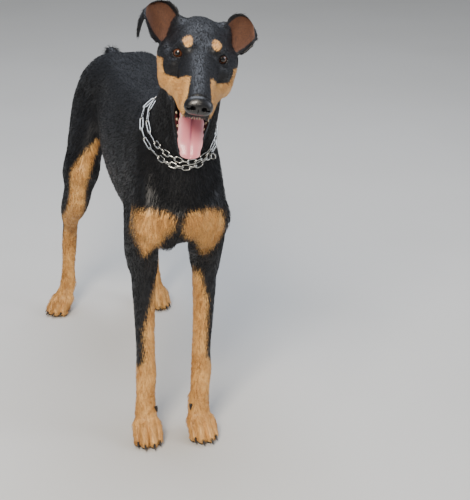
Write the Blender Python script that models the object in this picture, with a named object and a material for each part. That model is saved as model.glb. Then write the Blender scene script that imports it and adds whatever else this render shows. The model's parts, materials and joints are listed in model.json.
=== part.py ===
"""A standing black and rust dog, life size, with its mouth open and a steel chain collar.

The flesh is one blended form. Tubes of elliptical section, carried along smooth paths, make the
trunk and the limbs, and ellipsoids make the muscles. The form is meshed on a grid of cubes,
thinned, and parted with thin cuts into the nodes that a person would name.

Lengths are in metres and angles in degrees. The dog faces -Y, its left side is +X, and its pads
stand on z = 0. The middle of the whole model's footprint is the origin.
"""

import itertools
import math

import bmesh
import bpy
import numpy as np
from mathutils import Matrix, Vector
from mathutils.bvhtree import BVHTree

# Gaps between neighbouring nodes, and the cubes that the forms are meshed on
GAP = 0.0003
FAR = 0.05
BODY_CELL = 0.0060
PAW_CELL = 0.0027
HEAD_CELL = 0.0024
NOSE_CELL = 0.0018
FORM_TRIANGLES = {"body": 3500, "paw": 390, "head": 2850, "nose": 200}

# The trunk, as sections across the spine: y, top, bottom, half width
TRUNK_SECTIONS = (
    (-0.062, 0.520, 0.455, 0.040),
    (-0.030, 0.575, 0.424, 0.060),
    (0.010, 0.622, 0.404, 0.072),
    (0.060, 0.660, 0.393, 0.081),
    (0.120, 0.679, 0.388, 0.088),
    (0.200, 0.671, 0.388, 0.095),
    (0.280, 0.662, 0.400, 0.097),
    (0.360, 0.659, 0.422, 0.092),
    (0.430, 0.662, 0.447, 0.083),
    (0.490, 0.667, 0.465, 0.076),
    (0.550, 0.664, 0.474, 0.073),
    (0.600, 0.646, 0.488, 0.062),
    (0.640, 0.612, 0.510, 0.042),
)

# The neck, as sections across its own line: x, y, z, half width, half depth
NECK_SECTIONS = (
    (0.000, 0.080, 0.570, 0.066, 0.096),
    (0.000, 0.015, 0.638, 0.060, 0.085),
    (-0.001, -0.045, 0.705, 0.056, 0.071),
    (-0.004, -0.098, 0.765, 0.052, 0.061),
    (-0.010, -0.142, 0.812, 0.049, 0.054),
    (-0.017, -0.176, 0.840, 0.045, 0.046),
)

# The docked tail, as x, y, z, half width, half depth
TAIL_SECTIONS = (
    (-0.004, 0.585, 0.618, 0.024, 0.024),
    (-0.013, 0.616, 0.636, 0.018, 0.017),
    (-0.020, 0.630, 0.650, 0.0140, 0.0135),
)

# Each fore limb: side, distance of shoulder, elbow and wrist from the midline, the paw's place and turn
FORE_LIMBS = {
    "right": (-1, (0.0705, 0.0635, 0.0610), (-0.0655, 0.0000), 4.0),
    "left": (1, (0.0620, 0.0640, 0.0540), (0.0450, -0.0040), -5.0),
}

# Each hind limb: side, stifle, hock, and the paw's place and turn
HIND_LIMBS = {
    "right": (-1, (-0.108, 0.500, 0.385), (-0.112, 0.690, 0.165), (-0.132, 0.668), 48.0),
    "left": (1, (0.090, 0.495, 0.385), (0.090, 0.690, 0.165), (0.095, 0.662), -10.0),
}
FORE_PAW_SIZE = 1.0
HIND_PAW_SIZE = 0.94
PAW_TOP = 0.092

# The head's own frame: its origin is midway between the eyes
HEAD_ORIGIN = (-0.0350, -0.2811, 0.8695)
HEAD_YAW, HEAD_PITCH, HEAD_ROLL = 12.5, 5.5, 8.0

# Skull and upper muzzle, from nose to nape: x, y, z, half width, half height
SKULL_SECTIONS = (
    (0, -0.1310, -0.0350, 0.0225, 0.0225),
    (0, -0.0950, -0.0310, 0.0260, 0.0265),
    (0, -0.0550, -0.0270, 0.0290, 0.0300),
    (0, -0.0200, -0.0210, 0.0335, 0.0330),
    (0, 0.0100, -0.0140, 0.0425, 0.0370),
    (0, 0.0450, -0.0060, 0.0490, 0.0425),
    (0, 0.0800, -0.0040, 0.0490, 0.0415),
    (0, 0.1080, -0.0090, 0.0430, 0.0380),
    (0, 0.1300, -0.0160, 0.0350, 0.0320),
)

# Lower jaw, from throat to chin: x, y, z, half width, half height
JAW_SECTIONS = (
    (0, 0.0450, -0.0660, 0.0440, 0.0240),
    (0, 0.0050, -0.0870, 0.0370, 0.0195),
    (0, -0.0330, -0.1110, 0.0300, 0.0160),
    (0, -0.0600, -0.1295, 0.0235, 0.0138),
    (0, -0.0765, -0.1415, 0.0175, 0.0115),
)

# The open mouth between palate and tongue: x, y, z, half width, half height
MOUTH_SECTIONS = (
    (0, 0.0250, -0.0690, 0.0160, 0.0060),
    (0, -0.0080, -0.0760, 0.0220, 0.0100),
    (0, -0.0400, -0.0870, 0.0330, 0.0190),
    (0, -0.0800, -0.0980, 0.0370, 0.0270),
    (0, -0.1250, -0.1100, 0.0420, 0.0350),
)

# Tongue, from root to tip: x, y, z, half width, half thickness
TONGUE_SECTIONS = (
    (0, 0.0050, -0.0760, 0.0160, 0.0060),
    (0, -0.0300, -0.0900, 0.0200, 0.0052),
    (0, -0.0640, -0.1085, 0.0212, 0.0044),
    (0.0010, -0.0890, -0.1230, 0.0200, 0.0040),
    (0.0025, -0.0985, -0.1350, 0.0165, 0.0038),
)

EYE = (0.0355, 0.0095, -0.0020)
EYE_RADIUS = 0.0108
EYE_SIGHT = (0.26, -0.94, 0.16)
LID_THICKNESS = 0.0022
LID_OPENING = (0.0205, 0.0145)

NOSE = (0, -0.1370, -0.0335)
NOSE_HALF = (0.0222, 0.0145, 0.0165)

# Ears as three rows from root to tip: rear edge, middle of the cup, front edge
RIGHT_EAR = (
    ((-0.030, 0.084, 0.022), (-0.044, 0.082, 0.004), (-0.055, 0.062, -0.026)),
    ((-0.043, 0.096, 0.042), (-0.060, 0.101, 0.011), (-0.070, 0.062, -0.012)),
    ((-0.062, 0.103, 0.053), (-0.076, 0.109, 0.026), (-0.083, 0.066, -0.001)),
    ((-0.083, 0.105, 0.049), (-0.090, 0.106, 0.036), (-0.091, 0.071, 0.013)),
    ((-0.099, 0.100, 0.036), (-0.1000, 0.089, 0.0315), (-0.0975, 0.077, 0.025)),
    ((-0.107, 0.091, 0.015), (-0.1052, 0.085, 0.0135), (-0.1010, 0.079, 0.011)),
    ((-0.1060, 0.0855, -0.0100), (-0.1052, 0.0820, -0.0110), (-0.1035, 0.0785, -0.0100)),
)
LEFT_EAR = (
    ((0.030, 0.084, 0.018), (0.046, 0.082, 0.002), (0.057, 0.062, -0.026)),
    ((0.043, 0.096, 0.039), (0.060, 0.101, 0.010), (0.072, 0.061, -0.010)),
    ((0.055, 0.103, 0.050), (0.075, 0.108, 0.024), (0.087, 0.062, 0.003)),
    ((0.069, 0.104, 0.052), (0.083, 0.103, 0.035), (0.0905, 0.0650, 0.0100)),
    ((0.083, 0.098, 0.044), (0.0895, 0.090, 0.0345), (0.0925, 0.0685, 0.0150)),
    ((0.0915, 0.0915, 0.0350), (0.0945, 0.0835, 0.0280), (0.0940, 0.0715, 0.0165)),
    ((0.0965, 0.0860, 0.0240), (0.0968, 0.0810, 0.0205), (0.0955, 0.0750, 0.0155)),
)
EAR_THICKNESS = (0.0060, 0.0030, 0.0026, 0.0024, 0.0022, 0.0018, 0.0015)

# Teeth: root, lean, length and radius, mirrored to both sides
UPPER_CANINE = ((0.0190, -0.1080, -0.0500), (0.16, -0.02, -1.0), 0.0215, 0.0030)
LOWER_CANINE = ((0.0140, -0.0760, -0.1330), (0.10, -0.45, 0.80), 0.0150, 0.0028)
PREMOLARS = 4
PREMOLAR_ENDS = ((0.0195, -0.0600, -0.1200), (0.0260, -0.0280, -0.0985))

# Collar: the line of each strand round the neck, from the nape and back to it
STRANDS = {
    "upper": (
        (0.000, 0.062, 0.712),
        (-0.036, 0.052, 0.698),
        (-0.058, 0.022, 0.674),
        (-0.058, -0.014, 0.655),
        (-0.046, -0.047, 0.638),
        (-0.024, -0.068, 0.624),
        (0.000, -0.072, 0.618),
        (0.020, -0.069, 0.623),
        (0.043, -0.056, 0.645),
        (0.057, -0.016, 0.667),
        (0.058, 0.022, 0.684),
        (0.036, 0.052, 0.703),
    ),
    "lower": (
        (0.000, 0.098, 0.679),
        (-0.036, 0.086, 0.672),
        (-0.062, 0.046, 0.653),
        (-0.064, 0.008, 0.637),
        (-0.054, -0.028, 0.622),
        (-0.034, -0.054, 0.609),
        (-0.012, -0.065, 0.604),
        (0.010, -0.065, 0.606),
        (0.030, -0.058, 0.615),
        (0.056, -0.026, 0.628),
        (0.064, 0.046, 0.655),
        (0.036, 0.086, 0.672),
    ),
}
WIRE = 0.0014
SHORT_LINK = (0.0170, 0.0120)
LONG_LINK = (0.0320, 0.0090)
WIRE_SIDES = 3
LINK_OVERLAP = 0.0014
LINK_ROLL = 36.0
SHORT_LINKS = {"upper": (-0.082, 10), "lower": (-0.066, 9)}
RING_RADIUS = 0.0075
CLEARANCE = 0.0006

# Thin cuts that part the body: from, to, direction across, and half the reach across
CUTS = (
    ((0, -0.130, 0.470), (0, 0.150, 0.718), (1, 0, 0), 0.20),
    ((-0.014, 0.676, 0.586), (-0.014, 0.572, 0.681), (1, 0, 0), 0.038),
    ((-0.012, 0.030, 0.345), (-0.130, 0.030, 0.480), (0, 1, 0), 0.16),
    ((0.012, 0.030, 0.345), (0.130, 0.030, 0.480), (0, 1, 0), 0.16),
    ((-0.020, 0.560, 0.420), (-0.140, 0.560, 0.566), (0.2, 1, 0), 0.17),
    ((0.020, 0.560, 0.420), (0.140, 0.560, 0.566), (-0.2, 1, 0), 0.17),
)
JAW_CUTS = (
    ((0, 0.050, -0.120), (0, -0.030, -0.0632), (1, 0, 0), 0.10),
    ((0, -0.016, -0.0560), (0, -0.078, -0.0870), (1, 0, 0), 0.10),
)
POLL_CUT = ((-0.008, -0.138, 0.815), (-0.03, -0.50, 0.866))

# Where each piece of the body lies, to name it by
BODY_PIECES = {
    "torso": (0, 0.25, 0.52),
    "neck": (0, -0.08, 0.72),
    "tail": (0, 0.64, 0.66),
    "foreleg_right": (-0.08, 0.03, 0.25),
    "foreleg_left": (0.08, 0.03, 0.25),
    "hindleg_right": (-0.09, 0.58, 0.33),
    "hindleg_left": (0.09, 0.58, 0.33),
}
HEAD_PIECES = {"head": (0, 0.02, -0.01), "jaw": (0, -0.04, -0.12)}

# Colours, roughness and metallic value of each material
FINISHES = {
    "black_coat": ((0.012, 0.012, 0.014), 0.42, 0.0),
    "rust_coat": ((0.42, 0.17, 0.055), 0.60, 0.0),
    "nose_leather": ((0.010, 0.010, 0.011), 0.30, 0.0),
    "eye": ((0.035, 0.014, 0.006), 0.08, 0.0),
    "tongue": ((0.62, 0.24, 0.26), 0.40, 0.0),
    "steel": ((0.60, 0.60, 0.58), 0.22, 1.0),
}
NODE_FINISHES = {
    "forepaw": "rust_coat",
    "hindpaw": "rust_coat",
    "nose": "nose_leather",
    "eye": "eye",
    "tongue": "tongue",
    "collar": "steel",
}


def unit(vector):
    """The vector at length 1."""
    vector = np.asarray(vector, float)
    return vector / np.linalg.norm(vector)


def turned(yaw, pitch=0.0, roll=0.0):
    """A rotation matrix: yaw turns the nose to -X, pitch dips it, roll drops the left side."""
    yaw, pitch, roll = np.radians((yaw, pitch, roll))
    cy, sy, cp, sp, cr, sr = (
        f(a) for a in (yaw, pitch, roll) for f in (np.cos, np.sin)
    )
    about_z = np.array([[cy, sy, 0], [-sy, cy, 0], [0, 0, 1]])
    about_x = np.array([[1, 0, 0], [0, cp, -sp], [0, sp, cp]])
    about_y = np.array([[cr, 0, sr], [0, 1, 0], [-sr, 0, cr]])
    return about_z @ about_x @ about_y


HEAD_TURN = turned(HEAD_YAW, HEAD_PITCH, HEAD_ROLL)


def smooth_path(stations, step):
    """The rows of stations joined by a smooth cubic, resampled about every step metres."""
    rows = np.asarray(stations, float)
    chord = np.r_[0, np.cumsum(np.linalg.norm(np.diff(rows[:, :3], axis=0), axis=1))]
    slope = np.gradient(rows, chord, axis=0)
    at = np.linspace(0, chord[-1], max(2, math.ceil(chord[-1] / step)) + 1)
    i = np.clip(np.searchsorted(chord, at, side="right") - 1, 0, len(chord) - 2)
    span = (chord[i + 1] - chord[i])[:, None]
    t = (at - chord[i])[:, None] / span
    return (
        (2 * t**3 - 3 * t**2 + 1) * rows[i]
        + (t**3 - 2 * t**2 + t) * span * slope[i]
        + (3 * t**2 - 2 * t**3) * rows[i + 1]
        + (t**3 - t**2) * span * slope[i + 1]
    )


def scaled_distance(share, slope):
    """Distance from an ellipsoid: share is the place over the half sizes, slope over their squares."""
    reach = np.sqrt((share**2).sum(1))
    return reach * (reach - 1) / np.maximum(np.sqrt((slope**2).sum(1)), 1e-9)


class Ellipsoid:
    """A rounded mass with three half sizes, its long axis turned to face along a direction."""

    def __init__(self, centre, half, along=(0, 1, 0), side=(1, 0, 0)):
        self.centre, self.half = np.array(centre, float), np.array(half, float)
        along = unit(along)
        side = unit(np.asarray(side) - np.dot(side, along) * along)
        self.axes = np.array([side, along, np.cross(side, along)])
        reach = np.abs(self.axes.T * self.half).sum(1)
        self.low, self.high = self.centre - reach, self.centre + reach

    def distance(self, points):
        local = (points - self.centre) @ self.axes.T
        return scaled_distance(local / self.half, local / self.half**2)


class Tube:
    """Elliptical sections along a smooth path. A station is x, y, z, half width, half depth."""

    def __init__(self, stations, side=(1, 0, 0), ends=None, step=0.006):
        path = smooth_path(stations, step)
        self.centre, self.half = path[:, :3], path[:, 3:5]
        self.along = np.gradient(self.centre, axis=0)
        self.spacing = np.linalg.norm(self.along, axis=1)
        self.along /= self.spacing[:, None]
        side = np.asarray(side, float)
        side = side - (self.along @ side)[:, None] * self.along
        self.side = side / np.linalg.norm(side, axis=1)[:, None]
        self.up = np.cross(self.side, self.along)
        self.ends = ends or (min(self.half[0]), min(self.half[-1]))
        reach = self.half.max(1)[:, None] + max(self.ends)
        self.low = (self.centre - reach).min(0)
        self.high = (self.centre + reach).max(0)

    def distance(self, points):
        last = len(self.centre) - 1
        across = (self.centre**2).sum(1) - 2 * points @ self.centre.T
        near = across.argmin(1)
        run = ((points - self.centre[near]) * self.along[near]).sum(1)
        place = np.clip(near + np.clip(run / self.spacing[near], -1, 1), 0, last)
        i = np.minimum(place.astype(int), last - 1)
        t = (place - i)[:, None]
        mixed = [
            (1 - t) * rows[i] + t * rows[i + 1]
            for rows in (self.centre, self.half, self.side, self.up, self.along)
        ]
        offset = points - mixed[0]
        flat = [(offset * axis).sum(1) for axis in mixed[2:]]
        beyond = np.where(place <= 0, np.minimum(flat[2], 0) / self.ends[0], 0)
        beyond += np.where(place >= last, np.maximum(flat[2], 0) / self.ends[1], 0)
        cap = np.where(place <= 0, self.ends[0], self.ends[1])
        share = np.stack([flat[0] / mixed[1][:, 0], flat[1] / mixed[1][:, 1], beyond], 1)
        slope = share / np.stack([mixed[1][:, 0], mixed[1][:, 1], cap], 1)
        return scaled_distance(share, slope)


class Blend:
    """Forms added or cut in turn, each melting into what is there over its own width."""

    def __init__(self, *steps):
        self.steps = []
        self.low, self.high = np.full(3, np.inf), np.full(3, -np.inf)
        for form, width in steps:
            self.add(form, width)

    def add(self, form, width):
        self.steps.append((form, width, 1))
        self.low = np.minimum(self.low, form.low)
        self.high = np.maximum(self.high, form.high)
        return self

    def cut(self, form, width):
        self.steps.append((form, width, -1))
        return self

    def distance(self, points):
        field = np.full(len(points), FAR)
        for form, width, sign in self.steps:
            near = ((points > form.low - FAR) & (points < form.high + FAR)).all(1)
            if not near.any():
                continue
            here, new = sign * field[near], form.distance(points[near])
            overlap = np.maximum(width - np.abs(here - new), 0) / width
            field[near] = sign * (np.minimum(here, new) - overlap**2 * width / 4)
        return np.minimum(field, FAR)


class Placed:
    """A form built about its own origin, then sized, turned and set into another frame."""

    def __init__(self, form, origin, matrix, size=1.0):
        self.form, self.origin = form, np.array(origin, float)
        self.matrix, self.size = matrix, size
        corners = np.array(list(itertools.product(*zip(form.low, form.high))))
        placed = corners @ matrix.T * size + self.origin
        self.low, self.high = placed.min(0), placed.max(0)

    def distance(self, points):
        return self.form.distance((points - self.origin) @ self.matrix / self.size) * self.size


def in_batches(form, points, size=60000):
    """The form's distance at many points, worked out a batch at a time."""
    return np.concatenate(
        [form.distance(points[i : i + size]) for i in range(0, len(points), size)]
    )


def sampled(form, low, high, cell, coarse=4):
    """The form's distance on a grid of cubes, exact near its surface and shut at the grid's edge."""
    shape = np.ceil((np.asarray(high) - low) / (cell * coarse)).astype(int) + 1
    blocks = np.stack(np.meshgrid(*map(np.arange, shape), indexing="ij"), -1).reshape(-1, 3)
    middle = low + (blocks + 0.5) * cell * coarse
    rough = in_batches(form, middle)
    fine = np.repeat(rough.reshape(shape), coarse, 0)
    fine = np.repeat(np.repeat(fine, coarse, 1), coarse, 2)
    near = blocks[np.abs(rough) < 1.6 * cell * coarse] * coarse
    inner = np.stack(np.meshgrid(*[np.arange(coarse)] * 3, indexing="ij"), -1).reshape(-1, 3)
    index = (near[:, None] + inner).reshape(-1, 3)
    fine[tuple(index.T)] = in_batches(form, low + index * cell)
    for axis in range(3):
        for end in (slice(0, 2), slice(-2, None)):
            fine[(slice(None),) * axis + (end,)] = FAR
    return fine


def opened(values, depth):
    """Part or join the places where two surfaces would touch in one cube, so that none share an edge."""
    for _ in range(12):
        filled = 0
        for axes in ((0, 1), (0, 2), (1, 2)):
            corner = []
            for shift in ((0, 0), (1, 0), (1, 1), (0, 1)):
                cut = [slice(None)] * 3
                for axis, along in zip(axes, shift):
                    cut[axis] = slice(1, None) if along else slice(None, -1)
                corner.append(values[tuple(cut)])
            inside = [each < 0 for each in corner]
            crossed = (inside[0] == inside[2]) & (inside[1] == inside[3]) & (inside[0] != inside[1])
            for each in corner:
                wrong = crossed & (each >= 0)
                each[wrong] = -depth
                filled += wrong.sum()
        ends = (slice(None, -1), slice(1, None))
        corner = [values[cut] for cut in itertools.product(ends, repeat=3)]
        inside = np.array([each < 0 for each in corner])
        for first in range(4):
            pair = inside[first] & inside[7 - first] & (inside.sum(0) == 2)
            other = ~inside[first] & ~inside[7 - first] & (inside.sum(0) == 6)
            for each in (corner[first], corner[7 - first]):
                each[pair] = depth
                each[other] = -depth
            filled += pair.sum() + other.sum()
        if not filled:
            break
    return values


def surface_net(values, low, cell):
    """Vertices and quads of the zero surface: one vertex in each cube that it crosses."""
    count = np.array(values.shape)
    stride = np.array([count[1] * count[2], count[2], 1])
    total, hits = np.zeros((count.prod(), 3)), np.zeros(count.prod())
    rings, flips = [], []
    for axis in range(3):
        first = [slice(1, -1)] * 3
        second = list(first)
        second[axis] = slice(2, None)
        a, b = values[tuple(first)], values[tuple(second)]
        crossed = np.argwhere((a < 0) != (b < 0)) + 1
        start = values[tuple(crossed.T)]
        step = np.eye(3, dtype=int)[axis]
        stop = values[tuple((crossed + step).T)]
        place = crossed + np.outer(start / (start - stop), step)
        u, v = stride[(axis + 1) % 3], stride[(axis + 2) % 3]
        flat = crossed @ stride
        ring = np.stack([flat - u - v, flat - v, flat, flat - u], 1)
        for cube in ring.T:
            for k in range(3):
                total[:, k] += np.bincount(cube, place[:, k], len(total))
            hits += np.bincount(cube, minlength=len(hits))
        rings.append(ring)
        flips.append(start > 0)
    ring, flip = np.concatenate(rings), np.concatenate(flips)
    ring[flip] = ring[flip][:, ::-1]
    used, faces = np.unique(ring, return_inverse=True)
    return low + cell * total[used] / hits[used][:, None], faces.reshape(-1, 4)


def slope_of(form, points, step=0.0004):
    """The form's outward direction at each point, by differences."""
    ahead = np.stack([in_batches(form, points + step * e) for e in np.eye(3)], 1)
    behind = np.stack([in_batches(form, points - step * e) for e in np.eye(3)], 1)
    slope = ahead - behind
    return slope / np.maximum(np.linalg.norm(slope, axis=1), 1e-12)[:, None]


def form_mesh(name, form, cell, low=None, high=None):
    """A closed mesh object of the form, inside the box from low to high."""
    low = np.asarray(form.low if low is None else low) - 3 * cell
    high = np.asarray(form.high if high is None else high) + 3 * cell
    points, quads = surface_net(opened(sampled(form, low, high, cell), cell / 20), low, cell)
    for _ in range(2):
        away = in_batches(form, points)
        away[np.abs(away) > cell] = 0
        points = points - slope_of(form, points) * away[:, None]
    mesh = bpy.data.meshes.new(name)
    mesh.from_pydata(points.tolist(), [], quads.tolist())
    return linked(name, mesh)


def linked(name, mesh):
    """A new object that shows the mesh."""
    made = bpy.data.objects.new(name, mesh)
    bpy.context.scene.collection.objects.link(made)
    return made


def trunk_forms():
    """The trunk and neck, with the muscles of the back, chest and rump."""
    trunk = [
        (0, y, (top + bottom) / 2, half_width, (top - bottom) / 2)
        for y, top, bottom, half_width in TRUNK_SECTIONS
    ]
    body = Blend((Tube(trunk, ends=(0.02, 0.02)), 0.01))
    body.add(Tube(NECK_SECTIONS, ends=(0.05, 0.03)), 0.05)
    for s in (-1, 1):
        loin = [(s * 0.032, 0.14, 0.640, 0.022, 0.030), (s * 0.034, 0.34, 0.630, 0.030, 0.030)]
        loin.append((s * 0.034, 0.52, 0.636, 0.030, 0.030))
        body.add(Tube(loin), 0.03)
        body.add(Ellipsoid((s * 0.034, -0.034, 0.478), (0.030, 0.028, 0.048)), 0.025)
        body.add(Ellipsoid((s * 0.042, 0.545, 0.612), (0.044, 0.075, 0.046)), 0.03)
    body.add(Tube(TAIL_SECTIONS, ends=(0.01, 0.010)), 0.02)
    return body


def between(start, stop, share):
    """The point at a share of the way from start to stop."""
    return np.asarray(start) * (1 - share) + np.asarray(stop) * share


def fore_limb(side, spacing, paw):
    """A shoulder, upper arm, forearm and wrist, at these distances from the midline."""
    shoulder, elbow, wrist = spacing
    paw_x = abs(paw[0])
    limb = Blend()
    blade = [(0.034, 0.100, 0.645, 0.015, 0.040), (shoulder - 0.008, 0.035, 0.565, 0.024, 0.050)]
    blade.append((shoulder, -0.022, 0.490, 0.026, 0.038))
    upper_arm = [(shoulder, -0.022, 0.480, 0.026, 0.036), (shoulder, 0.020, 0.425, 0.027, 0.044)]
    upper_arm.append((elbow, 0.055, 0.375, 0.026, 0.040))
    shin = [
        (elbow, 0.056, 0.385, 0.0245, 0.0420),
        (elbow * 0.75 + wrist * 0.25, 0.046, 0.330, 0.0232, 0.0360),
        (elbow * 0.40 + wrist * 0.60, 0.037, 0.245, 0.0198, 0.0270),
        (wrist, 0.031, 0.170, 0.0190, 0.0210),
        (wrist, 0.028, 0.133, 0.0208, 0.0215),
        ((wrist + paw_x) / 2, 0.020 + paw[1] / 2, 0.098, 0.0195, 0.0185),
        (paw_x, 0.010 + paw[1], 0.058, 0.0200, 0.0170),
    ]
    for stations, width in ((blade, 0.02), (upper_arm, 0.02), (shin, 0.02)):
        limb.add(Tube([(side * x, *others) for x, *others in stations]), width)
    triceps = Ellipsoid((side * shoulder, 0.068, 0.455), (0.025, 0.054, 0.078), (0, 0.95, -0.3))
    limb.add(triceps, 0.03)
    limb.add(Ellipsoid((side * (elbow - 0.003), 0.098, 0.386), (0.013, 0.015, 0.022)), 0.018)
    limb.add(Ellipsoid((side * wrist, 0.047, 0.128), (0.010, 0.009, 0.014)), 0.010)
    return limb


def hind_limb(side, stifle, hock, paw, turn):
    """A thigh, lower thigh, hock and rear pastern down to the paw."""
    thigh = [(side * 0.056, 0.565, 0.590, 0.040, 0.074), (side * 0.082, 0.558, 0.495, 0.042, 0.078)]
    thigh.append((*(np.array(stifle) + (0, 0.024, 0.022)), 0.036, 0.056))
    instep = turned(turn) @ (0, 0.018, 0.062) + (*paw, 0)
    shin = [
        (*(np.array(stifle) + (0, 0.012, 0.030)), 0.031, 0.040),
        (*(np.array(stifle) + (side * 0.007, 0.045, -0.045)), 0.029, 0.044),
        (*(between(stifle, hock, 0.5) + (side * 0.009, 0.018, 0.000)), 0.0215, 0.0330),
        (*(between(stifle, hock, 0.8) + (0, 0.022, 0.008)), 0.0160, 0.0250),
        (*hock, 0.0168, 0.0215),
        (*between(hock, instep, 0.5), 0.0150, 0.0180),
        (*instep, 0.0168, 0.0160),
    ]
    heel = np.array(hock) + (0, 0.020, 0.024)
    limb = Blend()
    limb.add(Tube(thigh), 0.02)
    limb.add(Tube(shin, ends=(0.02, 0.01)), 0.025)
    limb.add(Ellipsoid(heel, (0.0100, 0.0120, 0.0200), (0, 1, 0.25)), 0.012)
    limb.add(Ellipsoid((side * 0.066, 0.600, 0.525), (0.036, 0.050, 0.085), (0, 0.95, 0.3)), 0.03)
    return limb


TOES = ((-0.0085, 0.0), (0.0085, 0.0), (-0.0205, 0.013), (0.0205, 0.013))


def toe_path(x, back):
    """The joints of one toe, from the foot's middle to its tip."""
    return [
        (x * 0.75, 0.004 + back / 2, 0.0370, 0.0080, 0.0090),
        (x, -0.017 + back, 0.0345, 0.0088, 0.0095),
        (x * 1.03, -0.032 + back, 0.0235, 0.0084, 0.0090),
        (x * 1.05, -0.043 + back, 0.0125, 0.0074, 0.0078),
    ]


def foot_form(size, origin, turn):
    """A foot: four arched toes with their pads, and the heel pad."""
    foot = Blend()
    palm = [(0, 0.022, 0.075, 0.0175, 0.0170), (0, 0.010, 0.052, 0.0210, 0.0165)]
    palm.append((0, -0.006, 0.036, 0.0225, 0.0130))
    foot.add(Tube(palm), 0.01)
    toes = Blend()
    for x, back in TOES:
        toes.add(Tube(toe_path(x, back)), 0.0015)
        toes.add(Ellipsoid((x * 1.04, -0.036 + back, 0.0062), (0.0080, 0.0125, 0.0078)), 0.003)
    foot.add(toes, 0.007)
    foot.add(Ellipsoid((0, 0.004, 0.0095), (0.0165, 0.0135, 0.0112)), 0.006)
    return Placed(foot, (*origin, 0), turned(turn), size)


def mirrored(side, point):
    """The point on one side: x is given for the left side."""
    return np.array((side * point[0], *point[1:]), float)


def head_form():
    """The head in its own frame, with the mouth open and the eyes' sockets still shut."""
    head = Blend()
    head.add(Tube(SKULL_SECTIONS, ends=(0.010, 0.020)), 0.01)
    for s in (-1, 1):
        flew = [(s * 0.0165, -0.124, -0.0490, 0.0080, 0.0130), (s * 0.0230, -0.090, -0.0500, 0.0085, 0.0150)]
        flew += [(s * 0.0285, -0.055, -0.0490, 0.0090, 0.0150), (s * 0.0350, -0.020, -0.0520, 0.0100, 0.0140)]
        flew += [(s * 0.0420, 0.015, -0.0500, 0.0120, 0.0180)]
        head.add(Tube(flew), 0.012)
        arch = [(s * 0.042, -0.002, -0.024, 0.011, 0.013), (s * 0.053, 0.030, -0.022, 0.011, 0.014)]
        arch += [(s * 0.057, 0.058, -0.020, 0.011, 0.016), (s * 0.050, 0.084, -0.020, 0.012, 0.018)]
        head.add(Tube(arch), 0.018)
        head.add(Ellipsoid((s * 0.026, 0.004, 0.0150), (0.0140, 0.0160, 0.0090)), 0.014)
        head.add(Ellipsoid((s * 0.047, 0.040, -0.048), (0.0170, 0.0360, 0.0300)), 0.022)
        head.add(Ellipsoid((s * 0.040, 0.092, 0.010), (0.0120, 0.0180, 0.0240)), 0.018)
    head.add(Ellipsoid((0, 0.118, 0.008), (0.018, 0.018, 0.014)), 0.02)
    head.add(Ellipsoid((0, 0.070, -0.050), (0.042, 0.055, 0.040)), 0.03)
    head.add(Tube(JAW_SECTIONS, ends=(0.02, 0.009)), 0.014)
    for s in (-1, 1):
        head.add(Ellipsoid((s * 0.036, -0.002, -0.066), (0.0080, 0.0180, 0.0150)), 0.012)
        head.add(Ellipsoid(mirrored(s, EYE), (EYE_RADIUS + LID_THICKNESS,) * 3), 0.008)
    head.cut(Tube(MOUTH_SECTIONS, ends=(0.01, 0.02)), 0.005)
    palate = [(0, 0.000, -0.0640, 0.0170, 0.0070), (0, -0.110, -0.0540, 0.0125, 0.0080)]
    head.cut(Tube(palate), 0.006)
    for s in (-1, 1):
        lip = [(s * 0.0315, -0.006, -0.0800, 0.0045, 0.0045), (s * 0.0285, -0.035, -0.1005, 0.0042, 0.0042)]
        lip += [(s * 0.0215, -0.060, -0.1180, 0.0040, 0.0040), (s * 0.0120, -0.079, -0.1325, 0.0040, 0.0040)]
        head.add(Tube(lip), 0.006)
    return head


def nose_form():
    """The nose leather, with its two wings and nostrils, in the head's frame."""
    nose = Blend((Ellipsoid(NOSE, NOSE_HALF), 0.002))
    for s in (-1, 1):
        nose.add(Ellipsoid(mirrored(s, (0.0118, -0.1385, -0.0365)), (0.0105, 0.0100, 0.0110)), 0.006)
    for s in (-1, 1):
        nostril = Ellipsoid(mirrored(s, (0.0092, -0.1500, -0.0345)), (0.0042, 0.0085, 0.0036))
        nose.cut(nostril, 0.002)
        slit = Ellipsoid(mirrored(s, (0.0165, -0.1465, -0.0370)), (0.0065, 0.0040, 0.0014), (0.6, 0.8, 0))
        nose.cut(slit, 0.0015)
    nose.cut(Ellipsoid((0, -0.1515, -0.0430), (0.0010, 0.0040, 0.0090)), 0.0015)
    return nose


def dog_form():
    """The whole dog's flesh, without ears, eyes, nose, tongue and teeth."""
    dog = trunk_forms()
    for side, spacing, paw, turn in FORE_LIMBS.values():
        dog.add(fore_limb(side, spacing, paw), 0.022)
        dog.add(foot_form(FORE_PAW_SIZE, paw, turn), 0.006)
    for side, stifle, hock, paw, turn in HIND_LIMBS.values():
        dog.add(hind_limb(side, stifle, hock, paw, turn), 0.022)
        dog.add(foot_form(HIND_PAW_SIZE, paw, turn), 0.006)
    dog.add(Placed(head_form(), HEAD_ORIGIN, HEAD_TURN), 0.020)
    return dog


def solid(name, points, faces):
    """A closed mesh object of triangles that face out."""
    mesh = bpy.data.meshes.new(name)
    mesh.from_pydata(np.asarray(points).tolist(), [], faces)
    build = bmesh.new()
    build.from_mesh(mesh)
    bmesh.ops.triangulate(build, faces=build.faces)
    bmesh.ops.recalc_face_normals(build, faces=build.faces)
    build.to_mesh(mesh)
    build.free()
    return linked(name, mesh)


def band_faces(rings, around, closed_path):
    """Quads between rings of points that follow one another."""
    count = rings if closed_path else rings - 1
    ring, place = np.meshgrid(np.arange(count), np.arange(around), indexing="ij")
    after, beside = (ring + 1) % rings, (place + 1) % around
    corners = (ring * around + place, ring * around + beside)
    corners += (after * around + beside, after * around + place)
    return np.stack(corners, -1).reshape(-1, 4).tolist()


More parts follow.
